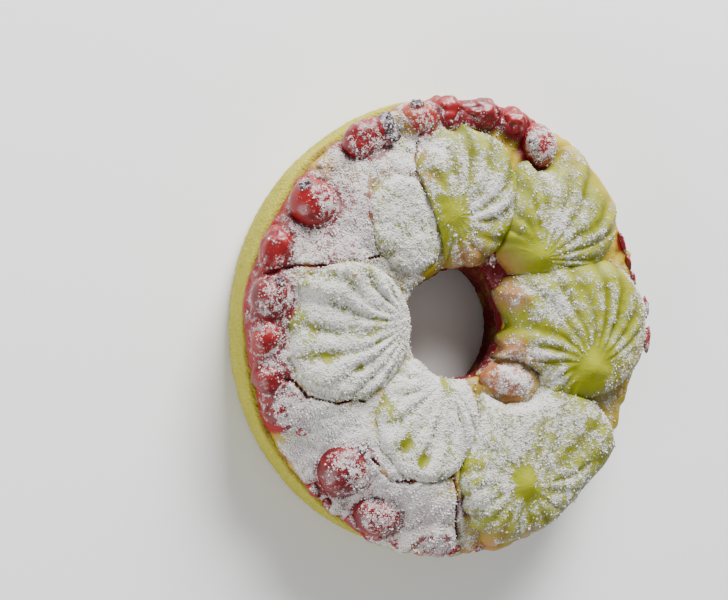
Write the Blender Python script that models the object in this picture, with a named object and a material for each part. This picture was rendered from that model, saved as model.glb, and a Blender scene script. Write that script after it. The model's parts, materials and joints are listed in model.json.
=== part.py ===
"""Pistachio ring cookie.

A green shortcrust ring carries a golden almond filling. Seven piped rosettes stand round the
ring, and red currants and pieces of fruit are pressed in along its rim. The cookie lies flat,
with +Z up and its origin at the middle of its underside. Sizes are in millimetres and angles
in degrees, and the meshes are made in metres.
"""

import math
from dataclasses import dataclass

import bmesh
import bpy
import numpy as np

MM = 0.001
GAP = 0.3

# The shortcrust ring
FOOT_RADIUS = 38.8
CRUST_RADIUS = 39.5
CRUST_HEIGHT = 8.6
CRUST_EDGE_ROUND = 0.8
CRUST_HOLE_FOOT = 12.0
CRUST_HOLE_TOP = 10.9
CRUST_SWELL = 0.35
CRUST_WAVE = 0.25
CRUST_RIPPLE = 0.15
CRUST_TOP_WAVE = 0.12

# The almond filling
FILLING_FLOOR = CRUST_HEIGHT + GAP
FILLING_RADIUS = 39.2
FILLING_RIM_HEIGHT = 11.2
FILLING_CROWN_HEIGHT = 13.0
FILLING_CROWN_POWER = 2.6
FILLING_LIP = 0.8
FILLING_UNEVENNESS = 0.15
HOLE_RADIUS = 9.7
HOLE_LEAN = 0.9
HOLE_LEAN_BEARING = 150.0
HOLE_POCKET = 1.9
HOLE_POCKET_BEARING = 60.0
HOLE_POCKET_WIDTH = 17.0
POCKET_X = 7.4
POCKET_Y = 10.6
POCKET_WIDTH = 3.4
POCKET_DIP = 1.2

# The piped rosettes
ROSETTE_GAP = 0.5
ROSETTE_LIP = 0.9
ROSETTE_SHOULDER = 5.0
SEAM_SHOULDER = 3.2
SEAM_DIP = 0.3
RIDGE_DEPTH = 0.42
RIDGE_START = 0.5
RIDGE_FULL = 6.0
PEAK_WIDTH = 2.2
ROSETTE_EDGE = 38.6
LOBE_DEPTH = 0.9
FRUIT_ROOM = 0.6

# The fruit
FRUIT_BED = 9.7
FRUIT_SIDES = 12
CURRANT_DENT = 0.07
PIECE_DENT = 0.14

# The dried crown of a currant: its angle, and how far its parts stand out as shares of the radius
CROWN_ANGLE = 24.0
CROWN_TIP = 0.22
CROWN_EDGE = 0.16
CROWN_DIMPLE = 0.05
CROWN_CRINKLE = 0.05

CRUST_GREEN = (0.40, 0.36, 0.075)
CAKE_GOLD = (0.50, 0.38, 0.09)
ROSETTE_GREEN = (0.36, 0.37, 0.045)
FRUIT_RED = (0.22, 0.012, 0.02)
FRUIT_DARK = (0.05, 0.01, 0.02)
FRUIT_PINK = (0.33, 0.14, 0.13)


@dataclass
class Bulge:
    """An uneven place on the rim: where it is, how wide in degrees and how far it stands out."""

    bearing: float
    width: float
    out: float


@dataclass
class Mound:
    """A soft rise of the filling between the rosettes."""

    x: float
    y: float
    width: float
    height: float


@dataclass
class Rosette:
    """One piped swirl: its ridges fan out from the peak, where the nozzle was pulled away."""

    name: str
    x: float
    y: float
    turn: float
    half_length: float
    half_width: float
    peak_x: float
    peak_y: float
    pull: float
    fan_towards: float
    fan_half_angle: float
    ridges: int
    twist: float
    body: float


@dataclass
class Fruit:
    """A currant or fruit piece: its place, half sizes, turn, and its dried crown."""

    name: str
    x: float
    y: float
    half_length: float
    half_width: float
    half_height: float
    turn: float = 0.0
    crown_bearing: float = 0.0
    crown_lift: float = 0.0
    crown_size: float = 0.0
    colour: tuple = FRUIT_RED


RIM_BULGES = (
    Bulge(57, 9, 1.4),
    Bulge(38, 7, 0.8),
    Bulge(12, 10, 0.5),
    Bulge(80, 16, 0.5),
    Bulge(-8, 8, 1.3),
    Bulge(-37, 8, 0.7),
    Bulge(-62, 14, 1.1),
    Bulge(-92, 12, 0.8),
    Bulge(-112, 8, 0.4),
    Bulge(174, 10, 0.6),
    Bulge(135, 22, -0.7),
    Bulge(-140, 18, -0.5),
)

MOUNDS = (
    Mound(-27, 16, 10, 3.0),
    Mound(-17, 28, 7, 2.0),
    Mound(-32, -13, 7, 2.4),
    Mound(-21, -24, 8, 2.2),
    Mound(-8, -31, 8, 2.8),
    Mound(28, 22, 8, 0.8),
)

ROSETTES = (
    Rosette("rosette_top", -0.8, 22.6, 90, 12.8, 11.0, -4.2, 18.8, 0.6, 90, 180, 15, 30, 2.7),
    Rosette("rosette_upper_right", 19.2, 19.6, 46, 14.0, 12.2, 13.4, 12.2, 1.0, 62, 95, 11, 18, 2.7),
    Rosette("rosette_right", 22.4, 0.0, 0, 17.4, 13.4, 24.2, -7.0, 0.9, 120, 110, 13, 24, 3.0),
    Rosette("rosette_lower_right", 15.5, -25.0, -32, 19.0, 16.6, 10.8, -27.4, 1.2, 70, 180, 17, 22, 2.8),
    Rosette("rosette_lower", -8.0, -15.6, -125, 11.0, 10.6, -4.6, -8.6, 0.4, -122, 80, 9, -14, 2.1),
    Rosette("rosette_left", -23.6, -0.6, 180, 13.2, 11.8, -12.0, 1.0, 0.3, 180, 75, 10, -12, 2.3),
    Rosette("rosette_upper_left", -12.6, 17.2, 125, 9.6, 7.6, -7.8, 11.2, 0.4, 128, 85, 7, 10, 1.6),
)

FRUIT = (
    Fruit("currant_upper_left", -29.3, 20.4, 4.3, 4.2, 3.5, 0, 130, 30, 0.7),
    Fruit("currant_dried", -19.3, 31.4, 4.6, 3.6, 3.0, 28, 30, 25, 1.5, FRUIT_DARK),
    Fruit("currant_top", -9.3, 35.5, 3.6, 3.2, 2.9, 20, 112, 35, 0.9, FRUIT_PINK),
    Fruit("fruit_top_left", -3.5, 37.1, 2.35, 2.8, 2.6, -8),
    Fruit("fruit_top_middle", 3.2, 37.1, 4.0, 2.9, 2.9, 0),
    Fruit("fruit_top_right", 10.1, 36.2, 2.6, 2.9, 2.8, -13),
    Fruit("currant_upper_right", 15.2, 32.2, 3.5, 4.1, 3.2, 12, 185, 48, 0.9),
    Fruit("currant_rim_high", -35.7, 12.7, 2.8, 4.3, 2.8, -20),
    Fruit("currant_rim_left", -36.5, 4.9, 3.5, 3.8, 2.9, -8, 80, 50, 0.6),
    Fruit("currant_rim_middle", -37.3, -1.9, 2.8, 3.3, 2.7, 0),
    Fruit("currant_rim_low", -36.6, -8.1, 2.8, 3.2, 2.6, 12),
    Fruit("currant_rim_lower", -34.2, -13.5, 3.1, 2.7, 2.5, 30),
    Fruit("currant_lower_left", -23.3, -23.6, 4.9, 4.7, 3.7, 0, 60, 35, 0.6),
    Fruit("currant_lower", -16.6, -31.8, 4.6, 3.5, 3.1, -20, 100, 30, 0.7),
    Fruit("fruit_bottom", -6.6, -37.0, 3.7, 2.3, 2.3, 6, 0, 0, 0, FRUIT_PINK),
    Fruit("fruit_by_hole", 9.0, -9.4, 5.5, 3.3, 3.2, -8, 0, 0, 0, FRUIT_PINK),
)

# Where a currant's surface runs, from its crown to its far end: angle and share of its radius
CURRANT_PROFILE = ((24, 1.0), (42, 0.99), (64, 1.0), (90, 1.0), (116, 1.0), (140, 1.0), (162, 1.0))


def bearing_of(x, y):
    """Angle round the ring of a point, from +X towards +Y."""
    return np.degrees(np.arctan2(y, x))


def angle_between(a, b):
    """Signed difference of two angles, from -180 to 180."""
    return (a - b + 180.0) % 360.0 - 180.0


def soft_step(value, low, high):
    """Rises smoothly from 0 at low to 1 at high."""
    share = np.clip((value - low) / (high - low), 0.0, 1.0)
    return share * share * (3.0 - 2.0 * share)


def unevenness(x, y):
    """A slow hand-made wave of about one unit over the cookie."""
    wave = np.sin(0.31 * x + 0.17 * y + 0.6) + np.sin(0.23 * y - 0.29 * x + 2.1)
    wave += 0.7 * np.sin(0.47 * x - 0.41 * y + 4.0)
    return wave / 2.7


def rim_radius(bearing):
    """Outer radius of the filling."""
    radius = FILLING_RADIUS + 0.15 * np.sin(np.radians(9 * bearing))
    for bulge in RIM_BULGES:
        radius = radius + bulge.out * np.exp(-((angle_between(bearing, bulge.bearing) / bulge.width) ** 2))
    return radius


def hole_radius(bearing):
    """Inner radius of the filling, whose hole leans to one side and has a pocket in its wall."""
    lean = HOLE_LEAN * np.cos(np.radians(bearing - HOLE_LEAN_BEARING))
    inside_pocket = angle_between(bearing, HOLE_POCKET_BEARING) / HOLE_POCKET_WIDTH
    pocket = HOLE_POCKET * np.exp(-(inside_pocket**2))
    return HOLE_RADIUS + lean + pocket + 0.2 * np.sin(np.radians(5 * bearing))


def filling_height(x, y):
    """Height of the filling's top surface."""
    bearing = bearing_of(x, y)
    inner = hole_radius(bearing)
    outer = rim_radius(bearing)
    across = np.clip((np.hypot(x, y) - inner) / (outer - inner), 0.0, 1.0)
    crown = 1.0 - np.abs(2.0 * across - 1.0) ** FILLING_CROWN_POWER
    height = FILLING_RIM_HEIGHT + (FILLING_CROWN_HEIGHT - FILLING_RIM_HEIGHT) * crown
    for mound in MOUNDS:
        away = np.hypot(x - mound.x, y - mound.y) / mound.width
        height = height + mound.height * crown * np.exp(-(away**2))
    height = height - POCKET_DIP * np.exp(-((np.hypot(x - POCKET_X, y - POCKET_Y) / POCKET_WIDTH) ** 2))
    return height + FILLING_UNEVENNESS * crown * unevenness(x, y)


def oval_share(shape, x, y):
    """Distance from an oval's middle, as a share of the way to its outline."""
    turn = math.radians(shape.turn)
    along = (x - shape.x) * math.cos(turn) + (y - shape.y) * math.sin(turn)
    aside = (y - shape.y) * math.cos(turn) - (x - shape.x) * math.sin(turn)
    return np.sqrt((along / shape.half_length) ** 2 + (aside / shape.half_width) ** 2)


def seam_distance(one, other, x, y):
    """Distance from a point to the seam between two rosettes, positive on the first one's side."""
    reach_one = one.half_length + one.half_width
    reach_other = other.half_length + other.half_width
    apart = math.hypot(other.x - one.x, other.y - one.y)
    seam = apart * reach_one / (reach_one + reach_other)
    along = ((x - one.x) * (other.x - one.x) + (y - one.y) * (other.y - one.y)) / apart
    return seam - along


def open_margin(rosette, x, y):
    """Distance from a point inside a rosette to its own outline, the rim, the hole or a fruit."""
    radius = np.hypot(x, y)
    bearing = bearing_of(x, y)
    size = min(rosette.half_length, rosette.half_width)
    margin = (1.0 - oval_share(rosette, x, y)) * size
    margin = np.minimum(margin, ROSETTE_EDGE - FILLING_RADIUS + rim_radius(bearing) - radius)
    margin = np.minimum(margin, radius - hole_radius(bearing) + GAP)
    for fruit in FRUIT:
        size = min(fruit.half_length, fruit.half_width)
        margin = np.minimum(margin, (oval_share(fruit, x, y) - 1.0) * size - FRUIT_ROOM)
    return margin


def seam_margin(rosette, x, y):
    """Distance from a point inside a rosette to the nearest seam with another one."""
    margin = np.full(np.shape(x), 99.0)
    for other in ROSETTES:
        if other is not rosette:
            margin = np.minimum(margin, seam_distance(rosette, other, x, y) - 0.5 * GAP)
    return margin


def rounded(share):
    """A quarter-round shoulder: 0 at the edge and 1 from a share of 1 on."""
    return np.sqrt(1.0 - (1.0 - np.clip(share, 0.0, 1.0)) ** 2)


def rosette_height(rosette, x, y, ridge):
    """Height of a rosette's top; ridge runs from -1 in a groove to 1 on a crest."""
    shoulder = rounded(open_margin(rosette, x, y) / ROSETTE_SHOULDER)
    seam = rounded(seam_margin(rosette, x, y) / SEAM_SHOULDER)
    body = rosette.body * shoulder * (1.0 - SEAM_DIP * (1.0 - seam))
    from_peak = np.hypot(x - rosette.peak_x, y - rosette.peak_y)
    peak = rosette.pull * np.exp(-((from_peak / PEAK_WIDTH) ** 2))
    depth = RIDGE_DEPTH * soft_step(from_peak, RIDGE_START, RIDGE_FULL) * (0.5 + 0.5 * shoulder)
    return filling_height(x, y) + ROSETTE_GAP + ROSETTE_LIP + body + peak + depth * ridge


def food_material(name, colour, roughness):
    """A plain food surface of one colour."""
    material = bpy.data.materials.new(name)
    material.use_nodes = True
    shader = material.node_tree.nodes["Principled BSDF"]
    shader.inputs["Base Color"].default_value = (*colour, 1.0)
    shader.inputs["Roughness"].default_value = roughness
    shader.inputs["Metallic"].default_value = 0.0
    material.diffuse_color = (*colour, 1.0)
    return material


def add_solid(name, points, faces, colour, roughness=0.75):
    """Makes one closed object from points in millimetres."""
    mesh = bpy.data.meshes.new(name)
    mesh.from_pydata([tuple(float(value) * MM for value in point) for point in points], [], faces)
    shell = bmesh.new()
    shell.from_mesh(mesh)
    bmesh.ops.recalc_face_normals(shell, faces=shell.faces)
    shell.to_mesh(mesh)
    shell.free()
    mesh.materials.append(food_material(name, colour, roughness))
    mesh.shade_smooth()
    solid = bpy.data.objects.new(name, mesh)
    bpy.context.collection.objects.link(solid)
    return solid


def turned_ring(name, outlines, colour):
    """Joins one closed outline for each step round the ring."""
    steps = len(outlines)
    corners = len(outlines[0])
    points = [point for outline in outlines for point in outline]
    faces = []
    for step in range(steps):
        after = (step + 1) % steps
        for corner in range(corners):
            following = (corner + 1) % corners
            here = step * corners + corner
            here_next = step * corners + following
            there = after * corners + corner
            there_next = after * corners + following
            faces.append((here, there, there_next, here_next))
    return add_solid(name, points, faces, colour)


def stacked_loops(name, first_pole, loops, last_pole, colour):
    """Joins loops of equal count between two poles."""
    count = len(loops[0])
    points = [first_pole] + [point for loop in loops for point in loop] + [last_pole]
    last = len(points) - 1
    faces = []
    for corner in range(count):
        following = (corner + 1) % count
        faces.append((0, 1 + corner, 1 + following))
        for level in range(len(loops) - 1):
            upper = 1 + level * count
            lower = upper + count
            faces.append((upper + corner, lower + corner, lower + following, upper + following))
        bottom = 1 + (len(loops) - 1) * count
        faces.append((last, bottom + following, bottom + corner))
    return add_solid(name, points, faces, colour)


def make_crust():
    """The green shortcrust ring, a little wider at its top than at its foot."""
    steps = 64
    levels = np.array([0.0, 0.35, 0.7, 1.0])
    outlines = []
    for step in range(steps):
        bearing = 360.0 * step / steps
        cos = math.cos(math.radians(bearing))
        sin = math.sin(math.radians(bearing))
        wave = CRUST_WAVE * math.sin(math.radians(4 * bearing + 40))
        wave += CRUST_RIPPLE * math.sin(math.radians(11 * bearing))
        top = CRUST_HEIGHT + CRUST_TOP_WAVE * (math.sin(math.radians(7 * bearing)) - 1.0)
        outline = []
        for level in levels:
            height = CRUST_EDGE_ROUND + (top - 2 * CRUST_EDGE_ROUND) * level
            swell = CRUST_SWELL * math.sin(math.pi * level)
            radius = FOOT_RADIUS + (CRUST_RADIUS - FOOT_RADIUS) * level + swell + wave * level
            outline.append((radius, height))
        outline.append((CRUST_RADIUS + wave - 0.25 * CRUST_EDGE_ROUND, top - 0.3 * CRUST_EDGE_ROUND))
        outline.append((CRUST_RADIUS + wave - CRUST_EDGE_ROUND, top))
        outline.append((CRUST_HOLE_TOP + CRUST_EDGE_ROUND, top))
        outline.append((CRUST_HOLE_TOP, top - CRUST_EDGE_ROUND))
        outline.append((0.5 * (CRUST_HOLE_TOP + CRUST_HOLE_FOOT) + wave, 0.5 * top))
        outline.append((CRUST_HOLE_FOOT, CRUST_EDGE_ROUND))
        outline.append((CRUST_HOLE_FOOT + CRUST_EDGE_ROUND, 0.0))
        outline.append((FOOT_RADIUS - CRUST_EDGE_ROUND, 0.0))
        outlines.append([(radius * cos, radius * sin, height) for radius, height in outline])
    return turned_ring("crust", outlines, CRUST_GREEN)


def make_filling():
    """The golden filling, domed between its rim and its hole."""
    steps = 78
    shares = (0.985, 0.94, 0.86, 0.75, 0.62, 0.5, 0.38, 0.25, 0.13, 0.05, 0.01)
    outlines = []
    for step in range(steps):
        bearing = 360.0 * step / steps
        cos = math.cos(math.radians(bearing))
        sin = math.sin(math.radians(bearing))
        outer = float(rim_radius(bearing))
        inner = float(hole_radius(bearing))
        outline = [(outer - 0.5, FILLING_FLOOR), (outer - 0.1, FILLING_FLOOR + 0.5)]
        outline.append((outer, FILLING_FLOOR + 1.4))
        for share in shares:
            radius = inner + (outer - inner) * share
            outline.append((radius, float(filling_height(radius * cos, radius * sin))))
        outline.append((inner, float(filling_height(inner * cos, inner * sin)) - FILLING_LIP))
        outline.append((inner + 0.5, FILLING_FLOOR))
        outlines.append([(radius * cos, radius * sin, height) for radius, height in outline])
    return turned_ring("filling", outlines, CAKE_GOLD)


def rosette_spokes(rosette):
    """Directions from the peak, two to a ridge inside the fan, and where crests and grooves are."""
    count = 2 * rosette.ridges
    whole_turn = rosette.fan_half_angle >= 180
    spread = 2.0 * rosette.fan_half_angle
    step = spread / count
    start = rosette.fan_towards - rosette.fan_half_angle
    inside = [start + step * index for index in range(count if whole_turn else count + 1)]
    ridges = [1.0 if index % 2 else -1.0 for index in range(len(inside))]
    if not whole_turn:
        rest = 360.0 - spread
        extra = max(4, int(rest / 22))
        inside += [start + spread + rest * (index + 1) / (extra + 1) for index in range(extra)]
        ridges += [0.0] * extra
    return np.array(inside), np.array(ridges)


def outline_reach(rosette, directions):
    """How far the rosette reaches from its peak in each direction."""
    steps = np.arange(0.0, 34.0, 0.05)
    x = rosette.peak_x + steps * np.cos(np.radians(directions))[:, None]
    y = rosette.peak_y + steps * np.sin(np.radians(directions))[:, None]
    outside = np.minimum(open_margin(rosette, x, y), seam_margin(rosette, x, y)) < 0.0
    return steps[np.argmax(outside, axis=1)]


def rosette_loop(rosette, directions, ridges, share):
    """Plan places of one loop round the peak, turned and lobed more the further out it is."""
    turned = np.radians(directions + rosette.twist * share)
    reach = outline_reach(rosette, np.degrees(turned))
    edge_x = rosette.peak_x + reach * np.cos(turned)
    edge_y = rosette.peak_y + reach * np.sin(turned)
    free_edge = soft_step(seam_margin(rosette, edge_x, edge_y), 0.0, 1.5)
    reach = share * reach - LOBE_DEPTH * 0.5 * (1.0 - ridges) * free_edge * share**3
    x = rosette.peak_x + reach * np.cos(turned)
    y = rosette.peak_y + reach * np.sin(turned)
    return x, y


def make_rosette(rosette):
    """One ridged rosette, set just clear of the filling."""
    directions, ridges = rosette_spokes(rosette)
    loops = []
    for share in (0.16, 0.36, 0.56, 0.74, 0.88, 0.965, 1.0):
        x, y = rosette_loop(rosette, directions, ridges, share)
        loops.append(list(zip(x, y, rosette_height(rosette, x, y, ridges))))
    for share in (1.0, 0.72, 0.42):
        x, y = rosette_loop(rosette, directions, ridges, share)
        loops.append(list(zip(x, y, filling_height(x, y) + ROSETTE_GAP)))
    x = np.array(rosette.peak_x)
    y = np.array(rosette.peak_y)
    top = float(rosette_height(rosette, x, y, 0.0))
    floor = float(filling_height(x, y)) + ROSETTE_GAP
    first_pole = (rosette.peak_x, rosette.peak_y, top)
    last_pole = (rosette.peak_x, rosette.peak_y, floor)
    return stacked_loops(rosette.name, first_pole, loops, last_pole, ROSETTE_GREEN)


def fruit_dent(fruit, direction):
    """How far a fruit's skin lies inside its round form in one direction, as a share of its radius."""
    x, y, z = direction
    wave = math.sin(3.1 * x + 2.3 * y + fruit.x) + math.sin(2.7 * y - 3.4 * z + 1.7 * fruit.y)
    wave += math.sin(4.1 * z + 2.2 * x - fruit.x)
    depth = CURRANT_DENT if fruit.crown_size > 0.0 else PIECE_DENT
    return depth * (0.5 - wave / 6.0)


def fruit_points(fruit, grow):
    """Poles and loops of a fruit piece, turned about the axis of its crown."""
    profile = list(CURRANT_PROFILE)
    crown_top = 1.0
    if fruit.crown_size > 0.0:
        wide = CROWN_ANGLE * fruit.crown_size
        profile = [(0.55 * wide, 1.0 + CROWN_TIP * fruit.crown_size)]
        profile.append((0.8 * wide, 1.0 + CROWN_EDGE * fruit.crown_size))
        profile += [pair for pair in CURRANT_PROFILE if pair[0] >= wide]
        crown_top = 1.0 + CROWN_DIMPLE * fruit.crown_size
    bearing = math.radians(fruit.crown_bearing)
    lift = math.radians(fruit.crown_lift if fruit.crown_size > 0.0 else 90.0)
    axis = np.array([math.cos(lift) * math.cos(bearing), math.cos(lift) * math.sin(bearing), math.sin(lift)])
    side = np.array([-math.sin(bearing), math.cos(bearing), 0.0])
    up = np.cross(axis, side)
    turn = math.radians(fruit.turn)
    middle = np.array([fruit.x, fruit.y, FRUIT_BED + fruit.half_height])

    def place(direction, share):
        """Stretches a direction on the round fruit to its real half sizes and uneven skin."""
        share = share - fruit_dent(fruit, direction)
        along = direction[0] * math.cos(turn) + direction[1] * math.sin(turn)
        aside = direction[1] * math.cos(turn) - direction[0] * math.sin(turn)
        along *= fruit.half_length * share + grow
        aside *= fruit.half_width * share + grow
        x = along * math.cos(turn) - aside * math.sin(turn)
        y = along * math.sin(turn) + aside * math.cos(turn)
        return tuple(middle + np.array([x, y, direction[2] * (fruit.half_height * share + grow)]))

    loops = []
    for level, (tilt, share) in enumerate(profile):
        loop = []
        for number in range(FRUIT_SIDES):
            around = 2.0 * math.pi * number / FRUIT_SIDES
            out = math.sin(math.radians(tilt))
            direction = math.cos(math.radians(tilt)) * axis
            direction = direction + out * (math.cos(around) * side + math.sin(around) * up)
            crinkle = CROWN_CRINKLE * (-1) ** number if level == 0 and fruit.crown_size > 0.0 else 0.0
            loop.append(place(direction, share + crinkle))
        loops.append(loop)
    return place(axis, crown_top), loops, place(-axis, 1.0)


def make_fruit(fruit):
    """One currant or fruit piece."""
    first_pole, loops, last_pole = fruit_points(fruit, 0.0)
    return stacked_loops(fruit.name, first_pole, loops, last_pole, fruit.colour)


def seat_fruit(filling):
    """Cuts a socket in the filling for each fruit, with a small gap all round it."""
    cutters = bpy.data.collections.new("fruit_sockets")
    bpy.context.scene.collection.children.link(cutters)
    for fruit in FRUIT:
        first_pole, loops, last_pole = fruit_points(fruit, GAP)
        cutter = stacked_loops("socket_" + fruit.name, first_pole, loops, last_pole, fruit.colour)
        bpy.context.collection.objects.unlink(cutter)
        cutters.objects.link(cutter)
        cutter.hide_render = True
        cutter.display_type = "WIRE"
    cut = filling.modifiers.new("sockets", "BOOLEAN")
    cut.operation = "DIFFERENCE"
    cut.operand_type = "COLLECTION"
    cut.collection = cutters
    cut.solver = "EXACT"
    bpy.context.view_layer.update()
    depsgraph = bpy.context.evaluated_depsgraph_get()
    carved = bpy.data.meshes.new_from_object(filling.evaluated_get(depsgraph))
    filling.modifiers.remove(cut)
    filling.data = carved
    for cutter in list(cutters.objects):
        bpy.data.objects.remove(cutter)
    bpy.data.collections.remove(cutters)
    drop_scraps(filling)


def drop_scraps(solid):
    """Keeps the largest connected body of a cut solid."""
    shell = bmesh.new()
    shell.from_mesh(solid.data)
    bmesh.ops.triangulate(shell, faces=shell.faces)
    shell.verts.ensure_lookup_table()
    unseen = set(shell.verts)
    bodies = []
    while unseen:
        edge_of_body = [unseen.pop()]
        body = set(edge_of_body)
        while edge_of_body:
            vertex = edge_of_body.pop()
            for edge in vertex.link_edges:
                other = edge.other_vert(vertex)
                if other in unseen:
                    unseen.discard(other)
                    body.add(other)
                    edge_of_body.append(other)
        bodies.append(body)
    bodies.sort(key=len)
    for body in bodies[:-1]:
        bmesh.ops.delete(shell, geom=list(body), context="VERTS")
    shell.to_mesh(solid.data)
    shell.free()


def main():
    """Builds the cookie from its crust up."""
    for old in list(bpy.data.objects):
        bpy.data.objects.remove(old)
    make_crust()
    filling = make_filling()
    for rosette in ROSETTES:
        make_rosette(rosette)
    for fruit in FRUIT:
        make_fruit(fruit)
    seat_fruit(filling)


main()
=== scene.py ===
"""Pistachio ring cookie in a small studio.

A green shortcrust ring carries an almond filling, seven piped rosettes, red currants and pieces of
fruit, and icing sugar lies over all of it. The file is laid out as an add-on and run as a script.
Shapes are worked out in millimetres and angles in degrees; meshes and settings are in metres.
"""

import json
import math
from dataclasses import dataclass

import bpy
import numpy as np
from bpy.props import FloatProperty, FloatVectorProperty, IntProperty, PointerProperty
from mathutils import Matrix, Vector

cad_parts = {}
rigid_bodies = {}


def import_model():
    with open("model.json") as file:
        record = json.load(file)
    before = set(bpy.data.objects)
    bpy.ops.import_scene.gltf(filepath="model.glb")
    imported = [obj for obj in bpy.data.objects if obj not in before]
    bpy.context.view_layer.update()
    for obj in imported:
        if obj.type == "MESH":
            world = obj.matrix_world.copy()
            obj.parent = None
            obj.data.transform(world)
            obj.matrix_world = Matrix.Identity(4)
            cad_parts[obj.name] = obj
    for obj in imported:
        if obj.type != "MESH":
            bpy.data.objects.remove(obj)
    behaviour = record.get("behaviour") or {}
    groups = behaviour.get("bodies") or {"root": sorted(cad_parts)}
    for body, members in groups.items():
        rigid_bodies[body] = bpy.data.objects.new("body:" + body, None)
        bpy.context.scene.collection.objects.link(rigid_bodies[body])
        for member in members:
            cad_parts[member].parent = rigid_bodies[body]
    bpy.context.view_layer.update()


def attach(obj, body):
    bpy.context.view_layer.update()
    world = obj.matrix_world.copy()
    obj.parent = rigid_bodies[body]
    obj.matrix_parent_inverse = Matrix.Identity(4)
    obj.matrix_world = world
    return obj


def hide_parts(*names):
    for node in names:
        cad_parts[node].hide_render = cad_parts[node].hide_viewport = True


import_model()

bl_info = {
    "name": "Pistachio Ring Cookie",
    "version": (1, 0, 0),
    "blender": (4, 5, 0),
    "location": "View3D > Sidebar > Cookie",
    "description": "Builds a sugared pistachio ring cookie piece by piece",
    "category": "Add Mesh",
}

MM = 0.001
BODY = "root"
SEED = 27

# The shortcrust ring
FOOT_RADIUS = 38.8
CRUST_RADIUS = 39.5
CRUST_HEIGHT = 8.6
CRUST_EDGE_ROUND = 0.8
CRUST_SWELL = 0.35
CRUST_TOP_WAVE = 0.12
CRUST_HOLE_FOOT = 12.0
CRUST_HOLE_TOP = 10.9

# The almond filling
GAP = 0.3
FILLING_FLOOR = CRUST_HEIGHT - 0.25
FILLING_RADIUS = 39.2
FILLING_RIM_HEIGHT = 11.2
FILLING_CROWN_HEIGHT = 13.0
HOLE_RADIUS = 9.7
HOLE_LEAN = 0.9
HOLE_LEAN_BEARING = 150.0
HOLE_POCKET = 1.9
HOLE_POCKET_BEARING = 60.0
HOLE_POCKET_WIDTH = 17.0
POCKET_X = 7.4
POCKET_Y = 10.6
POCKET_WIDTH = 3.4
POCKET_DIP = 1.2

# How the filling rises against the rosettes, more on the left, and round the fruit sunk into it
COLLAR_HEIGHT = 0.45
COLLAR_WIDTH = 1.8
LEFT_COLLAR_RISE = 1.15
LOWER_LEFT_COLLAR_SPREAD = 2.2
SUNK_COLLAR_HEIGHT = 1.8
SUNK_COLLAR_WIDTH = 1.4
SUNK_COLLAR_INSET = 0.9

# The piped rosettes
ROSETTE_STAND = 1.4
ROSETTE_SHOULDER = 5.0
SEAM_SHOULDER = 3.2
SEAM_DIP = 0.3
SEAM_LAP = 0.12
PEAK_WIDTH = 2.2
ROSETTE_EDGE = 38.6
LOBE_DEPTH = 0.9
RIDGE_START = 2.4
RIDGE_FULL = 9.0

# A rosette's loops under the filling: share of the way out, and how far below the filling's top
HIDDEN_LOOPS = ((1.0, 0.7), (0.72, 1.0), (0.42, 1.0))

# The fruit, with the reach of a dried crown in degrees for a crown size of 1
FRUIT_BED = 9.7
CURRANT_DENT = 0.07
PIECE_DENT = 0.14
CROWN_REACH = 24.0

# Loose grains of sugar: how far they stray from their place and stand off the skin
GRAIN_WANDER = 0.06
GRAIN_STAND = 0.04
GRAIN_PALE = (0.68, 0.67, 0.65)

# Small brown spots of the baked crust
BAKED_BROWN = (0.16, 0.09, 0.02)

# How finely the pieces are made
CRUST_STEPS = 720
FILLING_STEPS = 810
FILLING_ROWS = 72
ROSETTE_LOOPS = 84
ROSETTE_CORNERS = 372
FRUIT_LOOPS = 44
FRUIT_CORNERS = 64
BIT_LOOPS = 10
BIT_CORNERS = 16

# The studio, in metres
FLOOR_HALF_WIDTH = 1.2
FLOOR_DROP = 0.0001
KEY_PLACE = (0.08, 0.56, 0.30)
KEY_AIM = (0.0, 0.0, 0.0)
KEY_WIDTH = 0.34
FILL_PLACE = (-0.50, -0.30, 0.20)
FILL_AIM = (0.0, 0.0, 0.01)
FILL_WIDTH = 0.3
SKY_COLOUR = (0.97, 0.985, 1.0, 1.0)


@dataclass
class Bulge:
    """An uneven place on the rim: where it is, how wide in degrees and how far it stands out."""

    bearing: float
    width: float
    out: float


@dataclass
class Mound:
    """A soft rise of the filling between the rosettes."""

    x: float
    y: float
    width: float
    height: float


@dataclass
class Rosette:
    """One piped swirl, with the sugar on it, how bare its grooves are and how deep its ridges."""

    name: str
    x: float
    y: float
    turn: float
    half_length: float
    half_width: float
    peak_x: float
    peak_y: float
    pull: float
    fan_towards: float
    fan_half_angle: float
    ridges: int
    twist: float
    body: float
    sugar: float
    streaks: float
    relief: float


@dataclass
class Fruit:
    """A currant or fruit piece: its dried crown, its wrinkles, its sugar, and whether it is sunk."""

    name: str
    slot: str
    x: float
    y: float
    half_length: float
    half_width: float
    half_height: float
    turn: float = 0.0
    crown_bearing: float = 0.0
    crown_lift: float = 0.0
    crown_size: float = 0.0
    wrinkle: float = 0.12
    sugar: float = 0.6
    patch_x: float = 0.0
    patch_y: float = 0.0
    patch_width: float = 9.0
    ripeness: float = 0.5
    sunk: bool = False


@dataclass
class Spot:
    """A round soft place of a look, such as juice, with its strength at the middle."""

    x: float
    y: float
    width: float
    amount: float


@dataclass
class Bit:
    """A small fragment on the cookie: its place, its half sizes and its turn."""

    x: float
    y: float
    half_length: float
    half_width: float
    half_height: float
    turn: float


@dataclass
class Crack:
    """A crack in the filling along a line of places."""

    places: tuple
    width: float
    depth: float


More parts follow.
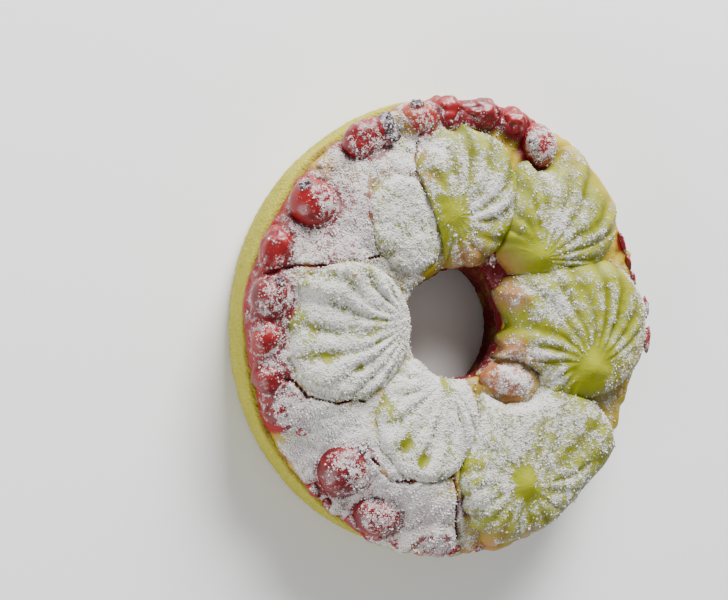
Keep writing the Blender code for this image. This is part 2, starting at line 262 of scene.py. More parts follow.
RIM_BULGES = (
    Bulge(57, 9, 1.4),
    Bulge(38, 7, 0.8),
    Bulge(12, 10, 0.5),
    Bulge(80, 16, 0.5),
    Bulge(-8, 8, 1.3),
    Bulge(-37, 8, 0.7),
    Bulge(-62, 14, 1.1),
    Bulge(-92, 12, 0.8),
    Bulge(-112, 8, 0.4),
    Bulge(174, 10, 0.6),
    Bulge(135, 22, -0.7),
    Bulge(-140, 18, -0.5),
)

MOUNDS = (
    Mound(-27, 16, 10, 3.0),
    Mound(-17, 28, 7, 2.0),
    Mound(-32, -13, 7, 2.4),
    Mound(-21, -24, 8, 2.2),
    Mound(-8, -31, 8, 2.8),
    Mound(28, 22, 8, 0.8),
)

ROSETTES = (
    Rosette(
        "rosette_top", x=-0.8, y=22.6, turn=90, half_length=12.8, half_width=11.0,
        peak_x=-4.2, peak_y=18.8, pull=0.6, fan_towards=90, fan_half_angle=180, ridges=15, twist=30,
        body=2.7, sugar=0.33, streaks=0.22, relief=0.85,
    ),
    Rosette(
        "rosette_upper_right", x=19.2, y=19.6, turn=46, half_length=14.0, half_width=12.2,
        peak_x=13.4, peak_y=12.2, pull=1.0, fan_towards=62, fan_half_angle=95, ridges=11, twist=18,
        body=2.7, sugar=0.39, streaks=0.14, relief=0.7,
    ),
    Rosette(
        "rosette_right", x=22.4, y=0.0, turn=0, half_length=17.4, half_width=13.4,
        peak_x=24.2, peak_y=-7.0, pull=0.9, fan_towards=120, fan_half_angle=110, ridges=13, twist=24,
        body=3.0, sugar=0.36, streaks=0.2, relief=0.75,
    ),
    Rosette(
        "rosette_lower_right", x=15.5, y=-25.0, turn=-32, half_length=19.0, half_width=16.6,
        peak_x=10.8, peak_y=-27.4, pull=1.2, fan_towards=70, fan_half_angle=180, ridges=17, twist=22,
        body=2.8, sugar=0.46, streaks=0.06, relief=0.5,
    ),
    Rosette(
        "rosette_lower", x=-8.0, y=-15.6, turn=-125, half_length=11.0, half_width=10.6,
        peak_x=-4.6, peak_y=-8.6, pull=0.4, fan_towards=-122, fan_half_angle=80, ridges=9, twist=-14,
        body=2.1, sugar=0.72, streaks=0.16, relief=0.7,
    ),
    Rosette(
        "rosette_left", x=-23.6, y=-0.6, turn=180, half_length=13.2, half_width=11.8,
        peak_x=-12.0, peak_y=1.0, pull=0.3, fan_towards=180, fan_half_angle=75, ridges=10, twist=-12,
        body=2.3, sugar=0.74, streaks=0.28, relief=0.95,
    ),
    Rosette(
        "rosette_upper_left", x=-12.6, y=17.2, turn=125, half_length=9.6, half_width=7.6,
        peak_x=-7.8, peak_y=11.2, pull=0.4, fan_towards=128, fan_half_angle=85, ridges=7, twist=10,
        body=1.6, sugar=0.76, streaks=0.1, relief=0.5,
    ),
)

FRUIT = (
    Fruit(
        "currant_upper_left", "red_fruit", x=-29.3, y=20.4,
        half_length=4.3, half_width=4.2, half_height=3.5,
        crown_bearing=130, crown_lift=30, crown_size=0.7,
        wrinkle=0.08, sugar=0.62, patch_x=1.3, patch_y=0.6, patch_width=3.2, ripeness=0.75,
    ),
    Fruit(
        "currant_dried", "dried_fruit", x=-19.3, y=31.4,
        half_length=4.6, half_width=3.6, half_height=3.0, turn=28,
        crown_bearing=30, crown_lift=28, crown_size=1.8,
        wrinkle=0.3, sugar=0.52, patch_x=0.6, ripeness=0.55,
    ),
    Fruit(
        "currant_top", "pink_fruit", x=-9.3, y=35.5,
        half_length=3.6, half_width=3.2, half_height=2.9, turn=20,
        crown_bearing=112, crown_lift=35, crown_size=0.9,
        wrinkle=0.2, patch_x=1.0, patch_y=-1.0, patch_width=4.0, ripeness=0.3, sunk=True,
    ),
    Fruit(
        "fruit_top_left", "red_fruit", x=-3.5, y=37.1,
        half_length=2.35, half_width=2.8, half_height=2.6, turn=-8,
        wrinkle=0.7, sugar=0.2, ripeness=0.85, sunk=True,
    ),
    Fruit(
        "fruit_top_middle", "red_fruit", x=3.2, y=37.1,
        half_length=4.0, half_width=2.9, half_height=2.9,
        wrinkle=0.7, sugar=0.32, sunk=True,
    ),
    Fruit(
        "fruit_top_right", "red_fruit", x=10.1, y=36.2,
        half_length=2.6, half_width=2.9, half_height=2.8, turn=-13,
        wrinkle=0.7, sugar=0.24, ripeness=0.95, sunk=True,
    ),
    Fruit(
        "currant_upper_right", "red_fruit", x=15.2, y=32.2,
        half_length=3.5, half_width=4.1, half_height=3.2, turn=12,
        crown_bearing=185, crown_lift=48, crown_size=0.75,
        wrinkle=0.15, sugar=0.58, patch_x=1.0, patch_y=1.0, ripeness=0.8,
    ),
    Fruit(
        "currant_rim_high", "red_fruit", x=-35.7, y=12.7,
        half_length=2.8, half_width=4.3, half_height=2.8, turn=-20,
        wrinkle=0.6, sugar=0.42, ripeness=0.7, sunk=True,
    ),
    Fruit(
        "currant_rim_left", "red_fruit", x=-36.5, y=4.9,
        half_length=3.5, half_width=3.8, half_height=2.9, turn=-8,
        crown_bearing=80, crown_lift=50, crown_size=0.6,
        sugar=0.52, ripeness=0.45, sunk=True,
    ),
    Fruit(
        "currant_rim_middle", "red_fruit", x=-37.3, y=-1.9,
        half_length=2.8, half_width=3.3, half_height=2.7,
        wrinkle=0.6, sugar=0.42, ripeness=0.85, sunk=True,
    ),
    Fruit(
        "currant_rim_low", "red_fruit", x=-36.6, y=-8.1,
        half_length=2.8, half_width=3.2, half_height=2.6, turn=12,
        wrinkle=0.6, sugar=0.46, ripeness=0.6, sunk=True,
    ),
    Fruit(
        "currant_rim_lower", "red_fruit", x=-34.2, y=-13.5,
        half_length=3.1, half_width=2.7, half_height=2.5, turn=30,
        wrinkle=0.6, sugar=0.5, sunk=True,
    ),
    Fruit(
        "currant_lower_left", "red_fruit", x=-23.3, y=-23.6,
        half_length=4.9, half_width=4.7, half_height=3.7,
        crown_bearing=60, crown_lift=35, crown_size=0.6,
        wrinkle=0.14, sugar=0.54, ripeness=0.35,
    ),
    Fruit(
        "currant_lower", "red_fruit", x=-16.6, y=-31.8,
        half_length=4.6, half_width=3.5, half_height=3.1, turn=-20,
        crown_bearing=100, crown_lift=30, crown_size=0.7,
        wrinkle=0.14, sugar=0.52, ripeness=0.45,
    ),
    Fruit(
        "fruit_bottom", "pink_fruit", x=-6.6, y=-37.0,
        half_length=3.7, half_width=2.3, half_height=2.3, turn=6,
        sugar=0.62, ripeness=0.3, sunk=True,
    ),
    Fruit(
        "fruit_by_hole", "pink_fruit", x=9.0, y=-9.4,
        half_length=5.5, half_width=3.3, half_height=3.2, turn=-8,
        wrinkle=0.45, sugar=0.68, ripeness=0.7, sunk=True,
    ),
)

CRACKS = (
    Crack(((-37, 8.5), (-31, 10.5), (-25, 10.0), (-19, 9.2), (-15.5, 8.2)), 0.26, 0.7),
    Crack(((-20.5, 11.5), (-18.5, 12.2), (-16.5, 13.8), (-15.0, 17.0)), 0.24, 0.6),
    Crack(((-38, -9.5), (-35, -8.6), (-33, -8.8), (-31, -11.2)), 0.3, 0.7),
    Crack(((-31, -11.6), (-27, -12.4), (-23, -12.0), (-20, -12.6)), 0.24, 0.6),
    Crack(((-20, -21), (-16.5, -25), (-12, -26.2), (-7, -26.0), (-3, -25.6)), 0.24, 0.7),
    Crack(((-3.2, -25.4), (-2.8, -29), (-2.0, -32.5), (-0.6, -36.4)), 0.34, 1.0),
    Crack(((-6.2, 35.8), (-9.5, 32.4), (-11.2, 28.0), (-11.4, 23.0)), 0.28, 0.7),
    Crack(((24.5, 19.5), (27.0, 22.0), (28.2, 25.0)), 0.5, 0.5),
)

FRUIT_BITS = (
    Bit(34.9, 15.5, 2.0, 0.6, 0.7, 114),
    Bit(36.4, 12.2, 1.8, 0.6, 0.6, 109),
    Bit(37.6, 8.9, 1.5, 0.5, 0.6, 103),
    Bit(38.4, 3.6, 1.9, 0.6, 0.8, 95),
    Bit(38.6, -2.4, 2.5, 0.6, 0.7, 86),
    Bit(-30.6, -16.6, 1.5, 1.1, 0.8, 15),
    Bit(-12.0, -36.6, 1.6, 1.0, 0.8, -15),
    Bit(-1.0, -38.4, 1.7, 0.9, 0.7, 5),
    Bit(-27.6, -27.0, 1.5, 0.9, 0.8, -45),
    Bit(-25.0, -29.4, 1.0, 0.8, 0.7, -20),
    Bit(-20.4, -32.6, 1.7, 0.9, 0.8, -35),
    Bit(-15.4, -35.2, 1.3, 1.0, 0.8, -10),
    Bit(-10.6, -37.2, 1.4, 0.8, 0.8, -25),
    Bit(4.4, -38.3, 1.3, 0.8, 0.7, 10),
    Bit(7.4, 12.0, 1.5, 1.2, 0.9, 50),
)

CRUMBS = (
    Bit(-16.2, -24.2, 2.5, 1.5, 1.4, -25),
    Bit(-24.0, 8.8, 0.8, 0.6, 0.6, 10),
    Bit(-31.6, -10.2, 0.9, 0.7, 0.6, 70),
    Bit(-12.8, -27.8, 1.0, 0.7, 0.7, -40),
    Bit(-27.2, 26.8, 0.7, 0.6, 0.6, 0),
    Bit(-5.4, -31.5, 0.9, 0.6, 0.6, 30),
    Bit(34.4, -11.8, 0.8, 0.6, 0.6, 60),
    Bit(12.2, -5.6, 0.9, 0.7, 0.8, 15),
    Bit(4.6, -8.4, 0.8, 0.6, 0.7, -25),
)

JUICE = (
    Spot(-27, 18, 12, 0.85),
    Spot(-30, 21, 6.5, 0.75),
    Spot(-20, 31, 8, 0.75),
    Spot(-16, 24, 8, 0.6),
    Spot(-9, 35, 6, 0.8),
    Spot(-2, 38, 5, 1.0),
    Spot(4, 38, 5, 1.0),
    Spot(10, 37, 5, 1.0),
    Spot(14.5, 32, 4.6, 1.0),
    Spot(13.5, 28, 2.4, 0.9),
    Spot(-36.5, 11, 5, 1.0),
    Spot(-38, 4, 4.5, 1.0),
    Spot(-38.5, -3, 4, 1.0),
    Spot(-37.5, -9, 4, 1.0),
    Spot(-34.5, -14, 3.4, 1.0),
    Spot(-30, -9, 4, 0.5),
    Spot(-31, -21, 2.4, 0.8),
    Spot(-26.5, -27.5, 2.8, 0.9),
    Spot(-21, -32.5, 2.6, 0.9),
    Spot(-24, -24, 7.5, 0.9),
    Spot(-16, -31, 7, 1.0),
    Spot(-8, -33, 6, 0.85),
    Spot(-5, -38, 5, 1.0),
    Spot(-1.5, -31, 2.6, 0.9),
    Spot(35, 15.5, 2.2, 0.9),
    Spot(37.5, 8.5, 2.4, 0.9),
    Spot(39.5, 3, 2.0, 1.0),
    Spot(40, -3, 2.6, 1.0),
    Spot(28, 17, 3, 0.4),
    Spot(8.4, 9.6, 4.8, 1.0),
)

GOLD = (
    Spot(31, 25, 8, 1.0),
    Spot(24, 33, 6, 1.0),
    Spot(37, 14, 6, 0.9),
    Spot(36, -9, 5, 1.0),
    Spot(-33, -19, 4.5, 0.9),
    Spot(-12, -36, 3, 0.6),
)

BARE_SPOTS = (
    Spot(-4.2, 19.2, 2.3, 0.9),
    Spot(-6.4, 16.6, 2.2, 0.4),
    Spot(13.4, 11.8, 2.6, 0.9),
    Spot(9.8, 12.6, 3.0, 0.6),
    Spot(23.8, -6.1, 2.8, 1.0),
    Spot(24.6, -9.9, 1.8, 0.6),
    Spot(20.5, -7.2, 2.0, 0.5),
    Spot(14.4, -1.8, 2.6, 0.35),
    Spot(8.6, -1.0, 2.6, 0.5),
    Spot(29.5, 6.5, 4.0, 0.3),
    Spot(10.2, -26.0, 1.9, 1.0),
    Spot(11.0, -28.4, 1.6, 0.4),
    Spot(8.8, -12.9, 1.4, 0.4),
    Spot(-3.9, -9.6, 1.2, 0.5),
    Spot(-16.0, -14.0, 1.6, 0.6),
    Spot(-14.0, -19.0, 1.6, 0.6),
    Spot(-10.2, -22.2, 1.3, 0.8),
    Spot(-32.9, 1.5, 2.0, 0.5),
    Spot(-31.1, -2.9, 2.1, 0.6),
    Spot(-28.3, -6.1, 2.0, 0.6),
    Spot(-22.5, -6.0, 1.8, 0.4),
    Spot(-7.2, 9.6, 1.5, 0.9),
    Spot(-23.0, 23.5, 5.0, 0.16),
    Spot(-18.0, 14.5, 3.5, 0.2),
    Spot(-27.0, 14.5, 3.0, 0.12),
    Spot(33.0, 24.0, 7.0, 0.35),
    Spot(37.0, 15.0, 4.0, 0.35),
    Spot(25.0, 33.0, 4.0, 0.35),
    Spot(36.5, -9.0, 3.4, 0.35),
    Spot(-34.4, -17.2, 1.8, 0.7),
)

HEAPS = (
    Spot(2.5, 22.7, 5.0, 0.34),
    Spot(-7.8, 29.9, 3.0, 0.3),
    Spot(16.8, 3.1, 3.0, 0.3),
    Spot(13.0, -4.1, 2.4, 0.3),
    Spot(17.4, 19.8, 4.0, 0.2),
    Spot(8.0, -19.4, 5.0, 0.25),
    Spot(10.4, -10.4, 6.0, 0.45),
    Spot(34.0, -10.0, 5.0, 0.2),
    Spot(38.0, 8.0, 5.0, 0.25),
    Spot(33.5, 20.5, 4.0, 0.2),
    Spot(2.0, -16.5, 5.0, 0.2),
    Spot(-6.3, -14.0, 6.0, 0.15),
    Spot(-30.0, -14.5, 5.0, 0.4),
    Spot(-26.0, -18.0, 5.0, 0.4),
    Spot(-18.0, -25.0, 6.0, 0.2),
    Spot(-10.0, -30.0, 7.0, 0.28),
)

BLUSH = (
    Spot(0.0, 11.0, 5.0, 0.8),
    Spot(7.0, 9.8, 4.2, 0.8),
    Spot(9.2, 5.6, 3.0, 0.9),
    Spot(9.4, -4.2, 3.2, 1.0),
    Spot(-9.0, 30.0, 3.0, 0.7),
    Spot(-9.5, 25.0, 2.6, 0.6),
    Spot(5.0, -39.0, 5.0, 0.8),
    Spot(14.0, -38.0, 4.0, 0.7),
    Spot(9.0, -9.4, 6.0, 1.0),
)


class CookieSizes(bpy.types.PropertyGroup):
    """Reliefs, lumps and grains of the cookie."""

    ridge_depth: FloatProperty(
        name="Ridge depth",
        description="How far a crest of a rosette stands above its middle height",
        default=0.00036,
        unit="LENGTH",
        precision=5,
    )
    dough_lumps: FloatProperty(
        name="Dough lumps",
        description="Height of the slow unevenness of the piped dough",
        default=0.00026,
        unit="LENGTH",
        precision=5,
    )
    cake_lumps: FloatProperty(
        name="Cake lumps",
        description="Height of the lumps in the baked filling",
        default=0.0005,
        unit="LENGTH",
        precision=5,
    )
    crumb_relief: FloatProperty(
        name="Crumb relief",
        description="Height of the fine crumb on the shortcrust",
        default=0.00009,
        unit="LENGTH",
        precision=5,
    )
    sugar_relief: FloatProperty(
        name="Sugar relief",
        description="Height of the lumps in the icing sugar",
        default=0.00024,
        unit="LENGTH",
        precision=5,
    )
    grain_size: FloatProperty(
        name="Grain size",
        description="Width of a clump of icing sugar",
        default=0.00026,
        unit="LENGTH",
        precision=5,
    )
    grain_count: IntProperty(
        name="Grains",
        description="Number of loose clumps of icing sugar",
        default=18000,
        min=0,
        max=24000,
    )


class CookieColours(bpy.types.PropertyGroup):
    """Colours of the dough, the fruit and the sugar."""

    crust_green: FloatVectorProperty(
        name="Crust green",
        description="Smooth side of the shortcrust ring",
        subtype="COLOR",
        default=(0.32, 0.29, 0.024),
        min=0.0,
        max=1.0,
    )
    crust_pale: FloatVectorProperty(
        name="Crust pale",
        description="Pale flecks in the shortcrust",
        subtype="COLOR",
        default=(0.41, 0.38, 0.055),
        min=0.0,
        max=1.0,
    )
    cake_gold: FloatVectorProperty(
        name="Cake gold",
        description="Bare golden filling at the rim",
        subtype="COLOR",
        default=(0.38, 0.27, 0.018),
        min=0.0,
        max=1.0,
    )
    dough_green: FloatVectorProperty(
        name="Dough green",
        description="Light green of the piped rosettes",
        subtype="COLOR",
        default=(0.26, 0.275, 0.010),
        min=0.0,
        max=1.0,
    )
    # Laid as painted shade in the rosettes' grooves and towards their foot, and as an uneven darker tone on
    # the filling.
    dough_olive: FloatVectorProperty(
        name="Dough olive",
        description="Darker green in the grooves of the rosettes",
        subtype="COLOR",
        default=(0.13, 0.135, 0.004),
        min=0.0,
        max=1.0,
    )
    berry_red: FloatVectorProperty(
        name="Berry red",
        description="Bright skin of a currant",
        subtype="COLOR",
        default=(0.22, 0.003, 0.004),
        min=0.0,
        max=1.0,
    )
    berry_wine: FloatVectorProperty(
        name="Berry wine",
        description="Dark skin of a currant",
        subtype="COLOR",
        default=(0.075, 0.002, 0.006),
        min=0.0,
        max=1.0,
    )
    crown_dark: FloatVectorProperty(
        name="Crown dark",
        description="Dried crown of a currant",
        subtype="COLOR",
        default=(0.03, 0.012, 0.022),
        min=0.0,
        max=1.0,
    )
    juice_red: FloatVectorProperty(
        name="Juice red",
        description="Juice that soaked into the filling",
        subtype="COLOR",
        default=(0.11, 0.003, 0.006),
        min=0.0,
        max=1.0,
    )
    blush_peach: FloatVectorProperty(
        name="Blush peach",
        description="Peach coloured lips of dough beside the fruit",
        subtype="COLOR",
        default=(0.34, 0.14, 0.05),
        min=0.0,
        max=1.0,
    )
    crumb_peach: FloatVectorProperty(
        name="Crumb peach",
        description="Small baked crumbs",
        subtype="COLOR",
        default=(0.40, 0.24, 0.11),
        min=0.0,
        max=1.0,
    )
    sugar_white: FloatVectorProperty(
        name="Sugar white",
        description="Thick icing sugar",
        subtype="COLOR",
        default=(0.62, 0.605, 0.57),
        min=0.0,
        max=1.0,
    )
    sugar_damp: FloatVectorProperty(
        name="Damp sugar",
        description="Icing sugar that has drawn up juice",
        subtype="COLOR",
        default=(0.50, 0.40, 0.43),
        min=0.0,
        max=1.0,
    )


class StudioSettings(bpy.types.PropertyGroup):
    """Floor, lights and camera."""

    floor_colour: FloatVectorProperty(
        name="Floor",
        description="Colour of the pale floor",
        subtype="COLOR",
        default=(0.86, 0.86, 0.855),
        min=0.0,
        max=1.0,
    )
    key_power: FloatProperty(
        name="Key light",
        description="Power of the large light above",
        default=14.6,
        min=0.0,
    )
    fill_power: FloatProperty(
        name="Fill light",
        description="Power of the light from the side",
        default=3.0,
        min=0.0,
    )
    sky_strength: FloatProperty(
        name="Sky",
        description="Strength of the even light from all round",
        default=0.36,
        min=0.0,
    )
    camera_tilt: FloatProperty(
        name="Camera tilt",
        description="Angle of the camera from straight above",
        default=math.radians(28.6),
        subtype="ANGLE",
    )
    camera_roll: FloatProperty(
        name="Camera roll",
        description="Turn of the camera about its own axis",
        default=math.radians(-0.5),
        subtype="ANGLE",
    )
    camera_distance: FloatProperty(
        name="Camera distance",
        description="Distance from the camera to the plane through the cookie's foot",
        default=0.3,
        unit="LENGTH",
    )
    camera_lens: FloatProperty(
        name="Lens",
        description="Focal length in millimetres",
        default=82.57,
        min=1.0,
    )
    camera_right: FloatProperty(
        name="Camera right",
        description="How far right of the cookie's middle the view is centred",
        default=-0.01087,
        unit="LENGTH",
        precision=5,
    )
    camera_up: FloatProperty(
        name="Camera up",
        description="How far above the cookie's middle the view is centred",
        default=0.004617,
        unit="LENGTH",
        precision=5,
    )


def bearing_of(x, y):
    """Angle round the ring of a point, from +X towards +Y."""
    return np.degrees(np.arctan2(y, x))


def angle_between(a, b):
    """Signed difference of two angles, from -180 to 180."""
    return (a - b + 180.0) % 360.0 - 180.0


def soft_step(value, low, high):
    """Rises smoothly from 0 at low to 1 at high."""
    share = np.clip((value - low) / (high - low), 0.0, 1.0)
    return share * share * (3.0 - 2.0 * share)


def rounded(share):
    """A quarter-round shoulder: 0 at the edge and 1 from a share of 1 on."""
    return np.sqrt(1.0 - (1.0 - np.clip(share, 0.0, 1.0)) ** 2)


def unevenness(x, y):
    """A slow hand-made wave of about one unit over the cookie."""
    wave = np.sin(0.31 * x + 0.17 * y + 0.6) + np.sin(0.23 * y - 0.29 * x + 2.1)
    wave += 0.7 * np.sin(0.47 * x - 0.41 * y + 4.0)
    return wave / 2.7


def corner_value(i, j, k, seed):
    """A fixed number from 0 to 1 for each corner of a cubic lattice."""
    mixed = (i * 73856093) ^ (j * 19349663) ^ (k * 83492791) ^ (seed * 40503)
    mixed = (mixed ^ (mixed >> 13)) & 0x7FFFFFFF
    mixed = (mixed * 1274126177) & 0x7FFFFFFF
    mixed = mixed ^ (mixed >> 15)
    return (mixed & 0xFFFF) / 65535.0


def lumps(points, size, seed):
    """Smooth unevenness from -1 to 1, with lumps of one size in millimetres."""
    scaled = points / size
    corner = np.floor(scaled).astype(np.int64)
    share = scaled - corner
    share = share * share * (3.0 - 2.0 * share)
    total = np.zeros(points.shape[:-1])
    for across in (0, 1):
        for along in (0, 1):
            for up in (0, 1):
                weight = share[..., 0] if across else 1.0 - share[..., 0]
                weight = weight * (share[..., 1] if along else 1.0 - share[..., 1])
                weight = weight * (share[..., 2] if up else 1.0 - share[..., 2])
                place = (corner[..., 0] + across, corner[..., 1] + along, corner[..., 2] + up)
                total += weight * corner_value(*place, seed)
    return 2.0 * total - 1.0


def spread_of(spots, x, y):
    """Strength of a set of soft round places at each point."""
    total = np.zeros(np.shape(x))
    for spot in spots:
        away = ((x - spot.x) ** 2 + (y - spot.y) ** 2) / spot.width**2
        total = np.maximum(total, spot.amount * np.exp(-away))
    return total


def rim_radius(bearing):
    """Outer radius of the filling."""
    radius = FILLING_RADIUS + 0.15 * np.sin(np.radians(9 * bearing))
    for bulge in RIM_BULGES:
        radius = radius + bulge.out * np.exp(-((angle_between(bearing, bulge.bearing) / bulge.width) ** 2))
    return radius


def hole_radius(bearing):
    """Inner radius of the filling, whose hole leans to one side and has a pocket in its wall."""
    lean = HOLE_LEAN * np.cos(np.radians(bearing - HOLE_LEAN_BEARING))
    inside_pocket = angle_between(bearing, HOLE_POCKET_BEARING) / HOLE_POCKET_WIDTH
    pocket = HOLE_POCKET * np.exp(-(inside_pocket**2))
    return HOLE_RADIUS + lean + pocket + 0.2 * np.sin(np.radians(5 * bearing))


def filling_height(x, y):
    """Height of the filling's top surface."""
    bearing = bearing_of(x, y)
    inner = hole_radius(bearing)
    outer = rim_radius(bearing)
    across = np.clip((np.hypot(x, y) - inner) / (outer - inner), 0.0, 1.0)
    crown = 1.0 - np.abs(2.0 * across - 1.0) ** 2.6
    height = FILLING_RIM_HEIGHT + (FILLING_CROWN_HEIGHT - FILLING_RIM_HEIGHT) * crown
    for mound in MOUNDS:
        away = np.hypot(x - mound.x, y - mound.y) / mound.width
        height = height + mound.height * crown * np.exp(-(away**2))
    height = height - POCKET_DIP * np.exp(-((np.hypot(x - POCKET_X, y - POCKET_Y) / POCKET_WIDTH) ** 2))
    return height + 0.15 * crown * unevenness(x, y)


def oval_share(shape, x, y):
    """Distance from an oval's middle, as a share of the way to its outline."""
    turn = math.radians(shape.turn)
    along = (x - shape.x) * math.cos(turn) + (y - shape.y) * math.sin(turn)
    aside = (y - shape.y) * math.cos(turn) - (x - shape.x) * math.sin(turn)
    return np.sqrt((along / shape.half_length) ** 2 + (aside / shape.half_width) ** 2)


def outline_distance(shape, x, y, inset=1.0):
    """Distance from an oval's outline, or from one drawn in to a share of it, positive outside."""
    return (oval_share(shape, x, y) - inset) * min(shape.half_length, shape.half_width)


def seam_distance(one, other, x, y):
    """Distance from a point to the seam between two rosettes, positive on the first one's side."""
    reach_one = one.half_length + one.half_width
    reach_other = other.half_length + other.half_width
    apart = math.hypot(other.x - one.x, other.y - one.y)
    seam = apart * reach_one / (reach_one + reach_other)
    along = ((x - one.x) * (other.x - one.x) + (y - one.y) * (other.y - one.y)) / apart
    return seam - along


def open_margin(rosette, x, y):
    """Distance from a point inside a rosette to its own outline, the rim, the hole or a fruit."""
    radius = np.hypot(x, y)
    bearing = bearing_of(x, y)
    margin = -outline_distance(rosette, x, y)
    margin = np.minimum(margin, ROSETTE_EDGE - FILLING_RADIUS + rim_radius(bearing) - radius)
    margin = np.minimum(margin, radius - hole_radius(bearing) + GAP)
    for fruit in FRUIT:
        margin = np.minimum(margin, outline_distance(fruit, x, y) - GAP)
    return margin


def seam_margin(rosette, x, y):
    """Distance from a point inside a rosette to the nearest seam with another one."""
    margin = np.full(np.shape(x), 99.0)
    for other in ROSETTES:
        if other is not rosette:
            margin = np.minimum(margin, seam_distance(rosette, other, x, y) + SEAM_LAP)
    return margin


def collar(x, y):
    """How far the filling rises against the rosettes and round the fruit that is sunk into it."""
    on_left = soft_step(-x, -2.0, 8.0)
    lower_left = on_left * soft_step(-y, 6.0, 12.0)
    height = COLLAR_HEIGHT + LEFT_COLLAR_RISE * on_left
    width = COLLAR_WIDTH + on_left + LOWER_LEFT_COLLAR_SPREAD * lower_left
    rise = np.zeros(np.shape(x))
    for rosette in ROSETTES:
        away = np.maximum(outline_distance(rosette, x, y), 0.0)
        rise = np.maximum(rise, height * np.exp(-((away / width) ** 2)))
    for fruit in FRUIT:
        if fruit.sunk:
            away = np.maximum(outline_distance(fruit, x, y, SUNK_COLLAR_INSET), 0.0)
            rise = np.maximum(rise, SUNK_COLLAR_HEIGHT * np.exp(-((away / SUNK_COLLAR_WIDTH) ** 2)))
    return rise


def beside_rosettes(x, y):
    """How close a point of the filling lies to a rosette's outline, from 0 to 1."""
    near = np.zeros(np.shape(x))
    for rosette in ROSETTES:
        away = outline_distance(rosette, x, y)
        near = np.maximum(near, np.exp(-((away / 0.55) ** 2)))
    return near


def fruit_contact(x, y):
    """How close a point of the filling lies to a fruit, from 0 to 1, at its foot and around it."""
    foot = np.zeros(np.shape(x))
    around = np.zeros(np.shape(x))
    for fruit in FRUIT:
        away = outline_distance(fruit, x, y, 0.97)
        foot = np.maximum(foot, np.exp(-((away / 0.35) ** 2)))
        if fruit.slot != "pink_fruit":
            around = np.maximum(around, np.exp(-((away / 1.5) ** 2)))
    return foot, around


def crack_strength(crack, x, y):
    """1 along a crack and 0 away from it."""
    nearest = np.full(np.shape(x), 99.0)
    for start, end in zip(crack.places[:-1], crack.places[1:]):
        step = np.subtract(end, start)
        along = ((x - start[0]) * step[0] + (y - start[1]) * step[1]) / float(step @ step)
        along = np.clip(along, 0.0, 1.0)
        away = np.hypot(x - start[0] - along * step[0], y - start[1] - along * step[1])
        nearest = np.minimum(nearest, away)
    return np.exp(-((nearest / crack.width) ** 2))


def smooth_round(rows, times):
    """Rounds off the corners of closed outlines, given as rows of points."""
    for _ in range(times):
        rows = 0.5 * rows + 0.25 * (np.roll(rows, 1, axis=1) + np.roll(rows, -1, axis=1))
    return rows


def grid_normals(grid):
    """Directions straight out of a closed ring of outlines, from the points beside each point."""
    along = np.roll(grid, -1, axis=0) - np.roll(grid, 1, axis=0)
    across = np.roll(grid, -1, axis=1) - np.roll(grid, 1, axis=1)
    normal = np.cross(along, across)
    return normal / np.maximum(np.linalg.norm(normal, axis=-1, keepdims=True), 1e-9)


def make_piece(name, points, faces, corner_uv, looks, material, nodes):
    """Makes one closed piece from arrays, with its looks as attributes, and hands it to the frame."""
    mesh = bpy.data.meshes.new(name)
    mesh.vertices.add(len(points))
    mesh.vertices.foreach_set("co", (points * MM).astype(np.float32).ravel())
    corners = np.concatenate([face.ravel() for face in faces])
    sizes = np.concatenate([np.full(len(face), face.shape[1]) for face in faces])
    starts = np.concatenate([[0], np.cumsum(sizes)[:-1]])
    mesh.loops.add(len(corners))
    mesh.loops.foreach_set("vertex_index", corners.astype(np.int32))
    mesh.polygons.add(len(sizes))
    mesh.polygons.foreach_set("loop_start", starts.astype(np.int32))
    mesh.update(calc_edges=True)
    layout = mesh.uv_layers.new(name="OFBake")
    flat_uv = np.concatenate([uv.reshape(-1, 2) for uv in corner_uv])
    layout.uv.foreach_set("vector", flat_uv.astype(np.float32).ravel())
    for look, values in looks.items():
        attribute = mesh.attributes.new(look, "FLOAT", "POINT")
        attribute.data.foreach_set("value", np.clip(values, 0.0, 1.0).astype(np.float32).ravel())
    mesh.shade_smooth()
    mesh.materials.append(material)
    piece = bpy.data.objects.new(name, mesh)
    bpy.context.scene.collection.objects.link(piece)
    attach(piece, BODY)
    if nodes:
        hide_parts(*nodes)
    return piece


def ring_faces(steps, corners):
    """Faces of a tube whose outlines stand round the ring."""
    step, corner = np.meshgrid(np.arange(steps), np.arange(corners), indexing="ij")
    after = (step + 1) % steps
    following = (corner + 1) % corners
    quads = np.stack(
        [
            step * corners + corner,
            after * corners + corner,
            after * corners + following,
            step * corners + following,
        ],
        axis=-1,
    )
    return quads.reshape(-1, 4)


def ring_layout(steps, profile):
    """A flat ring for the tube's faces: place in the layout for each corner of each face."""
    corners = len(profile) - 1
    step, corner = np.meshgrid(np.arange(steps), np.arange(corners), indexing="ij")

    def place(at_step, at_corner):
        """Place in the layout of one corner."""
        angle = 2.0 * math.pi * at_step / steps
        reach = profile[at_corner]
        return np.stack([0.5 + reach * np.cos(angle), 0.5 + reach * np.sin(angle)], axis=-1)

    here = [place(step, corner), place(step + 1, corner)]
    further = [place(step + 1, corner + 1), place(step, corner + 1)]
    return np.stack(here + further, axis=2).reshape(-1, 4, 2)


def profile_reach(rows, hidden):
    """Layout radius along the first outline, from its real lengths, with its hidden part made narrow."""
    outline = rows[0]
    steps = np.linalg.norm(np.roll(outline, -1, axis=0) - outline, axis=1)
    steps = np.where(hidden, steps * 0.1, steps)
    length = np.concatenate([[0.0], np.cumsum(steps)])
    return 0.49 - 0.42 * length / length[-1]


